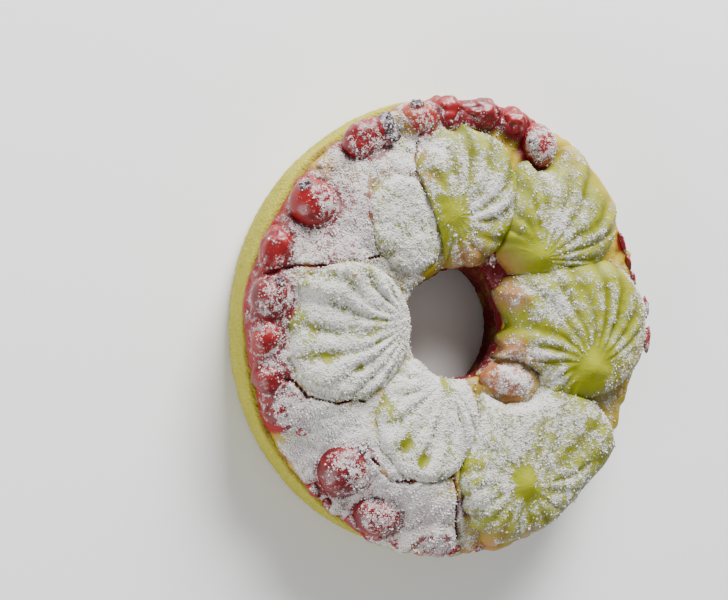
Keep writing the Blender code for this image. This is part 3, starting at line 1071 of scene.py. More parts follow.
def dome_faces(levels, count):
    """Faces of loops stacked between two poles: the quads, the first fan and the last fan."""
    level, corner = np.meshgrid(np.arange(levels - 1), np.arange(count), indexing="ij")
    following = (corner + 1) % count
    upper = 1 + level * count
    lower = upper + count
    quads = np.stack([upper + corner, lower + corner, lower + following, upper + following], axis=-1)
    corner = np.arange(count)
    following = (corner + 1) % count
    first = np.stack([np.zeros_like(corner), 1 + corner, 1 + following], axis=-1)
    bottom = 1 + (levels - 1) * count
    pole = np.full_like(corner, 1 + levels * count)
    last = np.stack([pole, bottom + following, bottom + corner], axis=-1)
    return quads.reshape(-1, 4), first, last


def dome_layout(flat, faces):
    """Layout of a dome from the flat places of its loops; the last pole is spread round the edge."""
    quads, first, last = faces
    uv_quads = flat[quads]
    uv_first = flat[first]
    uv_last = flat[last]
    edge = 0.5 * (uv_last[:, 1] + uv_last[:, 2])
    uv_last[:, 0] = 0.5 + (edge - 0.5) * 1.01
    return [uv_quads, uv_first, uv_last]


class Line:
    """A number that changes over a surface. Sums and products of lines add Math nodes."""

    def __init__(self, recipe, socket):
        self.recipe = recipe
        self.socket = socket

    def with_math(self, operation, first, second):
        """The result of one Math node."""
        node = self.recipe.node("ShaderNodeMath", {"operation": operation}, {0: first, 1: second})
        return Line(self.recipe, node.outputs[0])

    def __add__(self, other):
        return self.with_math("ADD", self, other)

    def __radd__(self, other):
        return self.with_math("ADD", other, self)

    def __sub__(self, other):
        return self.with_math("SUBTRACT", self, other)

    def __rsub__(self, other):
        return self.with_math("SUBTRACT", other, self)

    def __mul__(self, other):
        return self.with_math("MULTIPLY", self, other)

    def __rmul__(self, other):
        return self.with_math("MULTIPLY", other, self)

    def between(self, low, high):
        """Rises smoothly from 0 where the line is low to 1 where it is high."""
        settings = {"interpolation_type": "SMOOTHSTEP", "clamp": True}
        inputs = {"Value": self, "From Min": low, "From Max": high, "To Min": 0.0, "To Max": 1.0}
        node = self.recipe.node("ShaderNodeMapRange", settings, inputs)
        return Line(self.recipe, node.outputs["Result"])


class Recipe:
    """Builds one material."""

    def __init__(self, name):
        self.material = bpy.data.materials.new(name)
        self.material.use_nodes = True
        self.tree = self.material.node_tree
        self.shader = self.tree.nodes["Principled BSDF"]

    def node(self, kind, settings, inputs):
        """Adds a node: its settings first, then the values or links of its sockets."""
        node = self.tree.nodes.new(kind)
        for setting, value in settings.items():
            setattr(node, setting, value)
        for key, value in inputs.items():
            self.feed(self.socket_of(node, key), value)
        return node

    def socket_of(self, node, key):
        """The enabled input socket of that name or number."""
        if isinstance(key, int):
            return node.inputs[key]
        return next(socket for socket in node.inputs if socket.name == key and socket.enabled)

    def feed(self, socket, value):
        """Links a socket to a line, or gives it a fixed value."""
        if isinstance(value, Line):
            self.tree.links.new(value.socket, socket)
        elif socket.type == "RGBA":
            socket.default_value = (*value, 1.0)
        else:
            socket.default_value = value

    def look(self, name):
        """A look stored on the vertices."""
        node = self.node("ShaderNodeAttribute", {"attribute_name": name}, {})
        return Line(self, node.outputs["Fac"])

    def speckle(self, size, detail=2.0, shift=0.0):
        """Fine unevenness of one size in millimetres, spread over about -1 to 1."""
        place = self.node("ShaderNodeTexCoord", {}, {})
        moved = self.node(
            "ShaderNodeVectorMath",
            {"operation": "ADD"},
            {0: Line(self, place.outputs["Object"]), 1: (shift, 0.7 * shift, 0.0)},
        )
        inputs = {"Vector": Line(self, moved.outputs[0]), "Scale": 1.0 / (size * MM), "Detail": detail}
        noise = self.node("ShaderNodeTexNoise", {}, inputs)
        return (Line(self, noise.outputs["Fac"]) - 0.5) * 3.4

    def blend(self, first, second, share):
        """A colour between two others."""
        node = self.node("ShaderNodeMix", {"data_type": "RGBA"}, {"Factor": share, "A": first, "B": second})
        return Line(self, next(socket for socket in node.outputs if socket.enabled))

    def finish(self, colour, roughness, height, relief, fixed):
        """Feeds the shader: what changes over the surface, then its fixed values."""
        self.feed(self.shader.inputs["Base Color"], colour)
        self.feed(self.shader.inputs["Roughness"], roughness)
        bump = self.node("ShaderNodeBump", {}, {"Strength": 1.0, "Distance": relief * MM, "Height": height})
        self.feed(self.shader.inputs["Normal"], Line(self, bump.outputs["Normal"]))
        for name, value in fixed.items():
            self.shader.inputs[name].default_value = value
        return self.material


def dusting(recipe, cover):
    """Where the icing sugar lies, from 0 to 1, for a cover from none to thick."""
    fine = recipe.speckle(0.27, 2.0)
    clumps = recipe.speckle(0.85, 2.0, 0.031)
    level = cover + fine * 0.34 + clumps * 0.36
    mask = level.between(0.38, 0.67) * (0.66 + 0.34 * cover)
    return mask, fine, clumps


def sugared_dough(name, light, dark, colours):
    """Green dough, golden cake and juice under a dusting of icing sugar."""
    recipe = Recipe(name)
    cover = recipe.look("sugar")
    juice = recipe.look("juice")
    sugar, fine, clumps = dusting(recipe, cover)
    cloudy = recipe.speckle(4.0, 3.0, 0.017)
    # The ground goes from the light to the dark colour: painted shade and light on the rosettes, an uneven
    # darker tone on the filling.
    ground = recipe.blend(light, dark, (recipe.look("shade") + cloudy * 0.22).between(0.0, 1.0))
    ground = recipe.blend(ground, colours.cake_gold, recipe.look("gold"))
    blushed = (recipe.look("blush") + cloudy * 0.1).between(0.1, 1.0)
    ground = recipe.blend(ground, colours.blush_peach, blushed)
    soaked = (juice + cloudy * 0.16 + clumps * 0.10).between(0.2, 0.7)
    brightened = (cloudy * 0.4 + recipe.look("bright")).between(0.1, 0.9)
    wine = recipe.blend(colours.juice_red, colours.berry_red, brightened)
    ground = recipe.blend(ground, wine, soaked)
    white = recipe.blend(colours.sugar_white, colours.sugar_damp, (juice + clumps * 0.3).between(0.2, 1.3))
    ground = recipe.blend(ground, white, cover.between(0.15, 1.15) * 0.2)
    colour = recipe.blend(ground, white, sugar)
    roughness = 0.5 - soaked * 0.1 + sugar * 0.45
    height = sugar * 0.6 + (fine * 0.55 + clumps * 0.5) * (sugar + 0.15)
    return recipe.finish(colour, roughness, height, 0.2, {"Specular IOR Level": 0.22})


def crust_finish(colours):
    """Smooth green shortcrust with pale flecks, small brown spots and a stained top edge."""
    recipe = Recipe("shortcrust")
    crumb = recipe.speckle(0.45, 3.0)
    cloudy = recipe.speckle(5.0, 3.0, 0.02)
    spots = recipe.speckle(2.2, 1.0, 0.05)
    flecks = (crumb * 0.9 + cloudy * 0.4).between(-0.6, 1.0)
    ground = recipe.blend(colours.crust_green, colours.crust_pale, flecks)
    ground = recipe.blend(ground, BAKED_BROWN, spots.between(1.25, 1.6) * 0.8)
    stain = (recipe.look("juice") + cloudy * 0.3 + crumb * 0.12).between(0.35, 0.95)
    ground = recipe.blend(ground, colours.juice_red, stain)
    return recipe.finish(ground, 0.8 + crumb * 0.05, crumb, 0.12, {"Specular IOR Level": 0.25})


def berry_finish(name, bright, dark, colours, gloss):
    """Glossy fruit skin, darker where it dried, with sugar on top."""
    recipe = Recipe(name)
    cover = recipe.look("sugar")
    sugar, fine, clumps = dusting(recipe, cover)
    mottled = recipe.speckle(1.6, 3.0, 0.011)
    skin = recipe.blend(dark, bright, (recipe.look("ripe") + mottled * 0.28).between(0.0, 1.0))
    skin = recipe.blend(skin, colours.crown_dark, (recipe.look("crown") + mottled * 0.15).between(0.3, 0.75))
    white = recipe.blend(colours.sugar_white, colours.sugar_damp, clumps.between(-0.6, 1.0))
    colour = recipe.blend(skin, white, sugar)
    roughness = 0.36 + sugar * 0.58
    height = sugar * 0.6 + fine * 0.3 * (sugar + 0.2) + mottled * 0.3
    return recipe.finish(colour, roughness, height, 0.10, {"Specular IOR Level": gloss})


class CookieMaker:
    """What the making of each piece needs from the settings."""

    def __init__(self, scene):
        sizes = scene.cookie_sizes
        self.ridge_depth = sizes.ridge_depth / MM
        self.dough_lumps = sizes.dough_lumps / MM
        self.cake_lumps = sizes.cake_lumps / MM
        self.crumb_relief = sizes.crumb_relief / MM
        self.sugar_relief = sizes.sugar_relief / MM
        self.grain_size = sizes.grain_size / MM
        self.grain_count = sizes.grain_count
        self.colours = scene.cookie_colours

    def powder(self, points, cover):
        """Height of the icing sugar for a cover from 0 to 1."""
        rough = 0.5 + 0.5 * lumps(points, 0.5, 5)
        soft = 0.5 + 0.5 * lumps(points, 1.3, 6)
        return self.sugar_relief * np.clip(cover, 0.0, 1.0) * (0.1 + 0.7 * rough + 0.8 * soft)


def fill_outlines(corners, counts, steps):
    """Points along the straight lines between an outline's corners, for every step of the ring."""
    places = [np.stack([np.broadcast_to(part, steps) for part in corner], axis=-1) for corner in corners]
    rows = []
    for index, count in enumerate(counts):
        here = places[index]
        there = places[(index + 1) % len(places)]
        for part in range(count):
            rows.append(here + (there - here) * part / count)
    return np.stack(rows, axis=1)


def turn_outlines(rows, bearing):
    """Places each outline at its bearing on the ring."""
    cos = np.cos(np.radians(bearing))[:, None]
    sin = np.sin(np.radians(bearing))[:, None]
    return np.stack([rows[..., 0] * cos, rows[..., 0] * sin, rows[..., 1]], axis=-1)


def make_ring(node, rows, grid, hidden, looks, material):
    """Makes a closed ring from its grid of points, in place of the node's solid."""
    steps, corners = grid.shape[:2]
    faces = [ring_faces(steps, corners)]
    uv = [ring_layout(steps, profile_reach(rows, hidden))]
    return make_piece(node + "_baked", grid.reshape(-1, 3), faces, uv, looks, material, [node])


def make_crust(maker):
    """The shortcrust ring, a little wider at its top than at its foot."""
    bearing = 360.0 * np.arange(CRUST_STEPS) / CRUST_STEPS
    wave = 0.25 * np.sin(np.radians(4 * bearing + 40)) + 0.15 * np.sin(np.radians(11 * bearing))
    top = CRUST_HEIGHT + CRUST_TOP_WAVE * np.sin(np.radians(7 * bearing)) - CRUST_TOP_WAVE
    edge = CRUST_EDGE_ROUND
    corners = []
    for level in (0.0, 0.35, 0.7, 1.0):
        height = edge + (top - 2 * edge) * level
        swell = CRUST_SWELL * math.sin(math.pi * level)
        corners.append((FOOT_RADIUS + (CRUST_RADIUS - FOOT_RADIUS) * level + swell + wave * level, height))
    corners += [
        (CRUST_RADIUS + wave - 0.25 * edge, top - 0.3 * edge),
        (CRUST_RADIUS + wave - edge, top),
        (CRUST_HOLE_TOP + edge, top),
        (CRUST_HOLE_TOP, top - edge),
        (0.5 * (CRUST_HOLE_TOP + CRUST_HOLE_FOOT) + wave, 0.5 * top),
        (CRUST_HOLE_FOOT, edge),
        (CRUST_HOLE_FOOT + edge, 0.0),
        (FOOT_RADIUS - edge, 0.0),
    ]
    counts = (8, 8, 8, 3, 3, 8, 3, 8, 8, 3, 8, 3)
    rows = smooth_round(fill_outlines(corners, counts, CRUST_STEPS), 4)
    grid = turn_outlines(rows, bearing)
    crumb = lumps(grid, 0.7, 11) + 0.6 * lumps(grid, 0.35, 12)
    hollow = -2.5 * soft_step(lumps(grid, 2.4, 13), 0.62, 0.9)
    out = maker.crumb_relief * (crumb + hollow) + 0.10 * lumps(grid, 6.0, 14)
    underside = grid[..., 2] < 0.4
    out = np.where(underside, np.minimum(out, 0.0) * 0.3, out)
    grid = grid + grid_normals(grid) * out[..., None]
    grid[..., 2] = np.maximum(grid[..., 2], 0.0)
    radius = np.hypot(grid[..., 0], grid[..., 1])
    outer_edge = soft_step(grid[..., 2], 6.6, 8.5) * (radius > 30)
    inner_wall = 1.0 * (radius < 13.5)
    around = np.broadcast_to(bearing[:, None], radius.shape)
    wet = 0.35 + 0.65 * np.exp(-((angle_between(around, 175) / 70) ** 2))
    looks = {"juice": outer_edge * 0.62 * wet + inner_wall * 0.85}
    far_out = rows[0, :, 0]
    high_up = rows[0, :, 1]
    under_filling = (high_up > CRUST_HEIGHT - 0.7) & (far_out < 37) & (far_out > 12.5)
    hidden = (high_up < 0.3) | under_filling
    return make_ring("crust", rows, grid, hidden, looks, crust_finish(maker.colours))


def surface_looks(points, cover, ridge, shade):
    """Looks that depend on the place in plan."""
    x = points[..., 0]
    y = points[..., 1]
    bare = spread_of(BARE_SPOTS, x, y)
    return {
        "sugar": cover + spread_of(HEAPS, x, y) - bare * (0.75 - 0.35 * ridge),
        "juice": spread_of(JUICE, x, y),
        "gold": spread_of(GOLD, x, y),
        "blush": spread_of(BLUSH, x, y),
        # Painted shade and light for the rosettes, an uneven darker tone for the filling.
        "shade": shade,
    }


def filling_outlines(bearing, outer, inner):
    """The filling's cut all round the ring: its wall, its top from the rim to the hole, and its floor."""
    cos = np.cos(np.radians(bearing))
    sin = np.sin(np.radians(bearing))
    corners = [(outer - 0.5, FILLING_FLOOR), (outer - 0.1, FILLING_FLOOR + 0.5), (outer, FILLING_FLOOR + 1.4)]
    for share in np.linspace(0.985, 0.01, FILLING_ROWS):
        radius = inner + (outer - inner) * share
        corners.append((radius, filling_height(radius * cos, radius * sin)))
    corners.append((inner, filling_height(inner * cos, inner * sin) - 0.8))
    corners.append((inner + 0.5, FILLING_FLOOR))
    counts = [2, 3, 3] + [1] * (FILLING_ROWS - 1) + [3, 8, 12]
    return smooth_round(fill_outlines(corners, counts, len(bearing)), 3)


def filling_looks(grid, normals, across, gap):
    """Where sugar, juice, gold and blush lie on the filling."""
    x = grid[..., 0]
    y = grid[..., 1]
    contact, around_fruit = fruit_contact(x, y)
    near_rosette = beside_rosettes(x, y)
    left = soft_step(-x, -6.0, 14.0)
    lower = soft_step(-y, 22.0, 34.0) * soft_step(-x, -8.0, 4.0)
    thick = np.maximum(left, lower)
    broken = 0.5 + 0.5 * lumps(grid, 2.6, 25)
    jam = soft_step(across, 0.8, 0.9) * np.exp(-((angle_between(bearing_of(x, y), 172) / 34) ** 4))
    cover = 0.32 + 0.36 * thick
    cover = cover - 0.9 * gap**3 - 0.3 * contact - 0.2 * near_rosette * broken * thick
    cover = cover - (0.27 * (1.0 - thick) + 0.1 * jam) * soft_step(across, 0.9, 1.01)
    cover = cover + 0.12 * lumps(grid, 4.5, 26) + 0.12 * lumps(grid, 1.5, 28)
    facing_up = soft_step(normals[..., 2], -0.1, 0.45)
    cover = cover * (0.25 + 0.75 * facing_up) * (grid[..., 2] > FILLING_FLOOR + 0.2)
    cover = np.where(across < 0.02, np.minimum(cover, 0.2), cover)
    # On the filling the darkening look is only an uneven tone, with no painted shade.
    looks = surface_looks(grid, cover, 0.0, 0.35 + 0.3 * lumps(grid, 3.0, 27))
    wall = soft_step(0.03 - across, 0.0, 0.03)
    for wet in (0.9 * gap, 0.8 * around_fruit, 0.4 * near_rosette * broken * thick, wall * 0.95, jam):
        looks["juice"] = np.maximum(looks["juice"], wet)
    looks["gold"] = np.maximum(looks["gold"], 0.65)
    looks["blush"] = looks["blush"] * ((y < -30) | (np.hypot(x - 9.0, y + 9.4) < 7.5))
    looks["bright"] = soft_step(across, 0.9, 1.0) * 0.9
    return looks


def make_filling(maker):
    """The golden filling between its rim and its hole, with cracks, lumps and juice."""
    bearing = 360.0 * np.arange(FILLING_STEPS) / FILLING_STEPS
    outer = rim_radius(bearing)
    inner = hole_radius(bearing)
    rows = filling_outlines(bearing, outer, inner)
    grid = turn_outlines(rows, bearing)
    normals = grid_normals(grid)
    x = grid[..., 0]
    y = grid[..., 1]
    across = (np.hypot(x, y) - inner[:, None]) / (outer - inner)[:, None]
    body = soft_step(across, 0.0, 0.08) * soft_step(1.0 - across, 0.0, 0.06)
    slow = lumps(grid, 5.0, 21) + 0.7 * lumps(grid, 2.2, 22) + 0.75 * lumps(grid, 1.2, 29)
    knobs = np.maximum(lumps(grid, 3.4, 23), 0.0) * soft_step(across, 0.86, 1.0)
    out = maker.cake_lumps * (0.7 * slow + 1.6 * knobs) + collar(x, y) * body
    gap = np.zeros(x.shape)
    wander = 0.5 * lumps(grid, 1.6, 24)
    for crack in CRACKS:
        strength = crack_strength(crack, x + wander, y - wander)
        gap = np.maximum(gap, strength)
        out = out - crack.depth * strength
    looks = filling_looks(grid, normals, across, gap)
    out = out + maker.powder(grid, looks["sugar"])
    above_crust = grid[..., 2] > FILLING_FLOOR + 0.2
    grid = grid + normals * np.where(above_crust, out, 0.0)[..., None]
    hidden = rows[0, :, 1] < FILLING_FLOOR + 0.05
    colours = maker.colours
    material = sugared_dough("almond_filling", colours.cake_gold, colours.dough_olive, colours)
    return make_ring("filling", rows, grid, hidden, looks, material)


def reach_round(rosette):
    """How far the rosette reaches from its peak, at each half degree."""
    directions = np.arange(0.0, 360.0, 0.5)
    steps = np.arange(0.0, 34.0, 0.05)
    x = rosette.peak_x + steps * np.cos(np.radians(directions))[:, None]
    y = rosette.peak_y + steps * np.sin(np.radians(directions))[:, None]
    outside = np.minimum(open_margin(rosette, x, y), seam_margin(rosette, x, y)) < 0.0
    reach = steps[np.argmax(outside, axis=1)]
    for _ in range(3):
        reach = 0.5 * reach + 0.25 * (np.roll(reach, 1) + np.roll(reach, -1))
    return directions, reach


def ridge_wave(rosette, directions, wobble):
    """-1 in a groove and 1 on a rounded crest, fading to 0 outside the fan of ridges."""
    step = rosette.fan_half_angle / rosette.ridges
    start = rosette.fan_towards - rosette.fan_half_angle
    phase = (directions - start) / (2.0 * step) + wobble
    crest = np.sqrt(0.03 + 0.97 * np.sin(math.pi * phase) ** 2)
    ridge = 0.5 - 1.1 * (1.0 - crest) ** 1.2 - 0.5 * np.cos(2.0 * math.pi * phase)
    if rosette.fan_half_angle < 180:
        off = np.abs(angle_between(directions, rosette.fan_towards))
        ridge = ridge * (1.0 - soft_step(off, rosette.fan_half_angle - 4.0, rosette.fan_half_angle + 14.0))
    return ridge


def rosette_plan(rosette):
    """A rosette's loops in plan: share of the way out, direction before the twist, ridge and place."""
    directions = 360.0 * np.arange(ROSETTE_CORNERS) / ROSETTE_CORNERS
    shares = (1.0 - (1.0 - np.arange(1, ROSETTE_LOOPS + 1) / ROSETTE_LOOPS) ** 1.25)[:, None]
    table, reach = reach_round(rosette)
    turned = directions + rosette.twist * shares
    far = np.interp(turned % 360.0, np.append(table, 360.0), np.append(reach, reach[0]))
    ahead = np.cos(np.radians(turned))
    aside = np.sin(np.radians(turned))
    reached = shares * far
    flat = np.stack([rosette.peak_x + reached * ahead, rosette.peak_y + reached * aside, 0.0 * far], axis=-1)
    around = np.broadcast_to(directions, far.shape)
    ridge = ridge_wave(rosette, around, 0.16 * lumps(flat, 5.0, 31))
    seam = seam_margin(rosette, rosette.peak_x + far * ahead, rosette.peak_y + far * aside)
    free_edge = soft_step(seam, 0.0, 1.5)
    reached = reached - LOBE_DEPTH * 0.5 * (1.0 - ridge) * free_edge * shares**3
    x = rosette.peak_x + reached * ahead
    y = rosette.peak_y + reached * aside
    return np.broadcast_to(shares, x.shape), around, ridge, x, y


def rosette_layout(rosette, loops):
    """Flat layout of a rosette's loops; the hidden ones lie just outside the last that shows."""
    shown = loops[:ROSETTE_LOOPS, :, :2]
    low = shown.min(axis=(0, 1))
    high = shown.max(axis=(0, 1))
    middle = (low + high) / 2
    span = max(high - low)
    flat_loops = (loops[..., :2] - middle) / span * 0.86
    for index, widen in enumerate((1.04, 1.08, 1.12)):
        flat_loops[ROSETTE_LOOPS + index] = flat_loops[ROSETTE_LOOPS - 1] * widen
    peak = (np.array([[rosette.peak_x, rosette.peak_y]]) - middle) / span * 0.86
    layout = 0.5 + np.concatenate([peak, flat_loops.reshape(-1, 2)])
    return np.concatenate([layout, layout[-1:]])


def make_rosette(maker, rosette, material):
    """One piped swirl with its ridges, its lumps and its sugar."""
    shares, around, ridge, x, y = rosette_plan(rosette)
    flat = np.stack([x, y, np.zeros_like(x)], axis=-1)
    step = rosette.fan_half_angle / rosette.ridges
    along_ridges = np.stack([around / (2.4 * step), 2.2 * shares, 0 * x], axis=-1)
    strength = 0.8 + 0.6 * lumps(along_ridges, 1.0, 37) + 0.3 * lumps(flat, 4.0, 32)
    free = open_margin(rosette, x, y)
    seam = seam_margin(rosette, x, y)
    shoulder = rounded(free / ROSETTE_SHOULDER)
    dip = 1.0 - SEAM_DIP * (1.0 - soft_step(seam, -1.2, SEAM_SHOULDER))
    stand = ROSETTE_STAND * rounded(free / 1.8)
    from_peak = np.hypot(x - rosette.peak_x, y - rosette.peak_y)
    peak = rosette.pull * np.exp(-((from_peak / PEAK_WIDTH) ** 2))
    ridges = soft_step(from_peak, RIDGE_START, RIDGE_FULL)
    depth = maker.ridge_depth * rosette.relief * ridges * (0.45 + 0.55 * shoulder)
    height = filling_height(x, y) + stand + rosette.body * shoulder * dip + peak + depth * strength * ridge
    slow = lumps(flat, 3.6, 33) + 0.5 * lumps(flat, 1.6, 34)
    height = height + maker.dough_lumps * slow * rounded(free / 2.0)
    patches = 0.7 * lumps(flat, 5.5, 35) + 0.9 * lumps(flat, 2.2, 36) + 0.8 * lumps(flat, 1.2, 38)
    fade = soft_step(shares, 1.0, 0.5) * soft_step(from_peak, 1.8, 6.5)
    cover = rosette.sugar + rosette.streaks * ridge * strength * fade + (0.2 - 0.06 * fade) * patches
    cover = cover * (0.72 + 0.28 * soft_step(np.minimum(free, seam * 2.5), 0.05, 0.9))
    points = np.stack([x, y, height], axis=-1)
    # Painted shade and light: the dough is darker in the grooves and towards the foot, and lighter on the
    # crests and at the peak.
    shade = 0.42 - 0.34 * ridge * ridges + 0.2 * (1.0 - shoulder) - 0.28 * np.exp(-((from_peak / 2.6) ** 2))
    looks = surface_looks(points, cover, ridge, shade)
    looks["juice"] = looks["juice"] * (0.06 + 0.5 * (1.0 - rounded(free / 2.0)))
    crease = 1.0 - soft_step(np.minimum(free, seam * 2.0), 0.1, 0.55)
    looks["juice"] = np.maximum(looks["juice"], crease * 0.1)
    looks["gold"] = looks["gold"] * (1.0 - soft_step(free, 1.0, 6.0)) * 0.9
    looks["sugar"] = np.maximum(looks["sugar"], 0.15)
    looks["bright"] = np.full(x.shape, 0.2)
    points[..., 2] = height + maker.powder(points, looks["sugar"])
    hidden_loops = []
    for share, drop in HIDDEN_LOOPS:
        low_x = rosette.peak_x + share * (x[-1] - rosette.peak_x)
        low_y = rosette.peak_y + share * (y[-1] - rosette.peak_y)
        hidden_loops.append(np.stack([low_x, low_y, filling_height(low_x, low_y) - drop], axis=-1))
    loops = np.concatenate([points, np.stack(hidden_loops)])
    bed = float(filling_height(np.array(rosette.peak_x), np.array(rosette.peak_y)))
    top = bed + ROSETTE_STAND + rosette.body * shoulder[0].mean() + rosette.pull
    first = [[rosette.peak_x, rosette.peak_y, top]]
    last = [[rosette.peak_x, rosette.peak_y, bed - 1.0]]
    all_points = np.concatenate([first, loops.reshape(-1, 3), last])
    spread = {}
    for look, values in looks.items():
        hidden_values = np.repeat(values[-1:], len(HIDDEN_LOOPS), axis=0)
        whole = np.concatenate([values, hidden_values]).reshape(-1)
        spread[look] = np.concatenate([[values[0].mean()], whole, [0.0]])
    faces = dome_faces(len(loops), ROSETTE_CORNERS)
    uv = dome_layout(rosette_layout(rosette, loops), faces)
    name = rosette.name + "_piped"
    return make_piece(name, all_points, faces, uv, spread, material, [rosette.name])


class FruitForm:
    """A fruit's round form: which way its crown points, its half sizes and its dents."""

    def __init__(self, fruit):
        self.fruit = fruit
        self.middle = np.array([fruit.x, fruit.y, FRUIT_BED + fruit.half_height])
        bearing = math.radians(fruit.crown_bearing)
        lift = math.radians(fruit.crown_lift if fruit.crown_size > 0.0 else 90.0)
        level = math.cos(lift)
        self.axis = np.array([level * math.cos(bearing), level * math.sin(bearing), math.sin(lift)])
        self.side = np.array([-math.sin(bearing), math.cos(bearing), 0.0])
        self.up = np.cross(self.axis, self.side)

    def directions(self, tilts, arounds):
        """Directions from the middle, by their tilt from the crown and their angle around it."""
        out = np.sin(np.radians(tilts))[..., None]
        ahead = np.cos(np.radians(tilts))[..., None] * self.axis
        swing = np.cos(np.radians(arounds))[..., None] * self.side
        swing = swing + np.sin(np.radians(arounds))[..., None] * self.up
        return ahead + out * swing

    def dent(self, direction):
        """How far the skin lies inside the round form in a direction, as a share of its radius."""
        x = direction[..., 0]
        y = direction[..., 1]
        z = direction[..., 2]
        wave = np.sin(3.1 * x + 2.3 * y + self.fruit.x) + np.sin(2.7 * y - 3.4 * z + 1.7 * self.fruit.y)
        wave = wave + np.sin(4.1 * z + 2.2 * x - self.fruit.x)
        depth = CURRANT_DENT if self.fruit.crown_size > 0.0 else PIECE_DENT
        return depth * (0.5 - wave / 6.0)

    def place(self, direction, share):
        """Places on the skin, at a share of the way from the middle to the round form."""
        fruit = self.fruit
        share = share - self.dent(direction)
        cos = math.cos(math.radians(fruit.turn))
        sin = math.sin(math.radians(fruit.turn))
        along = (direction[..., 0] * cos + direction[..., 1] * sin) * fruit.half_length * share
        aside = (direction[..., 1] * cos - direction[..., 0] * sin) * fruit.half_width * share
        high = direction[..., 2] * fruit.half_height * share
        return self.middle + np.stack([along * cos - aside * sin, along * sin + aside * cos, high], axis=-1)


def crown_relief(fruit, tilt, around, seat):
    """A currant's dried crown: where it is, from 0 to 1, and how far its skin stands out."""
    wide = CROWN_REACH * fruit.crown_size
    crown = 1.0 - soft_step(tilt, 0.75 * wide, 1.1 * wide)
    star = 0.5 + 0.5 * np.cos(np.radians(around * 5 + 30 * np.sin(np.radians(around * 2))))
    rim = np.exp(-(((tilt - 0.62 * wide) / (0.3 * wide)) ** 2))
    out = 1.0 + fruit.crown_size * (0.12 * crown + 0.14 * rim * star)
    return crown, out + 0.05 * crown * lumps(seat, 0.6, 41)


def make_fruit(maker, fruit, material):
    """One currant or fruit piece with its dried crown, wrinkles and sugar."""
    shape = (FRUIT_LOOPS, FRUIT_CORNERS)
    tilt = np.degrees(np.arange(1, FRUIT_LOOPS + 1) * math.pi / (FRUIT_LOOPS + 1))
    tilt = np.broadcast_to(tilt[:, None], shape)
    around = np.broadcast_to(360.0 * np.arange(FRUIT_CORNERS) / FRUIT_CORNERS, shape)
    form = FruitForm(fruit)
    face = form.directions(tilt, around)
    seat = form.place(face, np.ones(shape))
    crown = np.zeros(shape)
    share = np.ones(shape)
    if fruit.crown_size > 0.0:
        crown, share = crown_relief(fruit, tilt, around, seat)
    size = min(fruit.half_length, fruit.half_width, fruit.half_height)
    wrinkles = lumps(seat, 2.2, 42) + 0.6 * lumps(seat, 1.0, 43)
    share = share + fruit.wrinkle * wrinkles * 0.5 / size * 1.4
    points = form.place(face, share)
    cover = fruit.sugar - 0.10 + 0.22 * lumps(seat, 1.8, 44)
    from_patch = np.hypot(points[..., 0] - fruit.x - fruit.patch_x, points[..., 1] - fruit.y - fruit.patch_y)
    cover = cover * (0.35 + 0.75 * np.exp(-((from_patch / fruit.patch_width) ** 2)))
    cover = cover * soft_step(face[..., 2], -0.1, 0.55)
    cover = np.maximum(cover, 0.42 * crown)
    ripe = fruit.ripeness + 0.25 * lumps(seat, 2.0, 45)
    points[..., 2] = points[..., 2] + maker.powder(points, cover) * soft_step(face[..., 2], 0.0, 0.5)
    first = form.place(form.directions(np.zeros(1), np.zeros(1)), share[:1].mean())
    last = form.place(form.directions(np.full(1, 180.0), np.zeros(1)), share[-1:].mean())
    all_points = np.concatenate([first, points.reshape(-1, 3), last])
    radius = 0.47 * tilt / 180.0
    angle = np.radians(around)
    flat = 0.5 + np.stack([radius * np.cos(angle), radius * np.sin(angle)], axis=-1).reshape(-1, 2)
    flat = np.concatenate([[[0.5, 0.5]], flat, flat[-1:]])
    faces = dome_faces(FRUIT_LOOPS, FRUIT_CORNERS)
    looks = {}
    for look, values in {"sugar": cover, "ripe": ripe, "crown": crown}.items():
        looks[look] = np.concatenate([[values[0].mean()], values.reshape(-1), [0.0]])
    uv = dome_layout(flat, faces)
    name = fruit.name + "_skin"
    return make_piece(name, all_points, faces, uv, looks, material, [fruit.name])


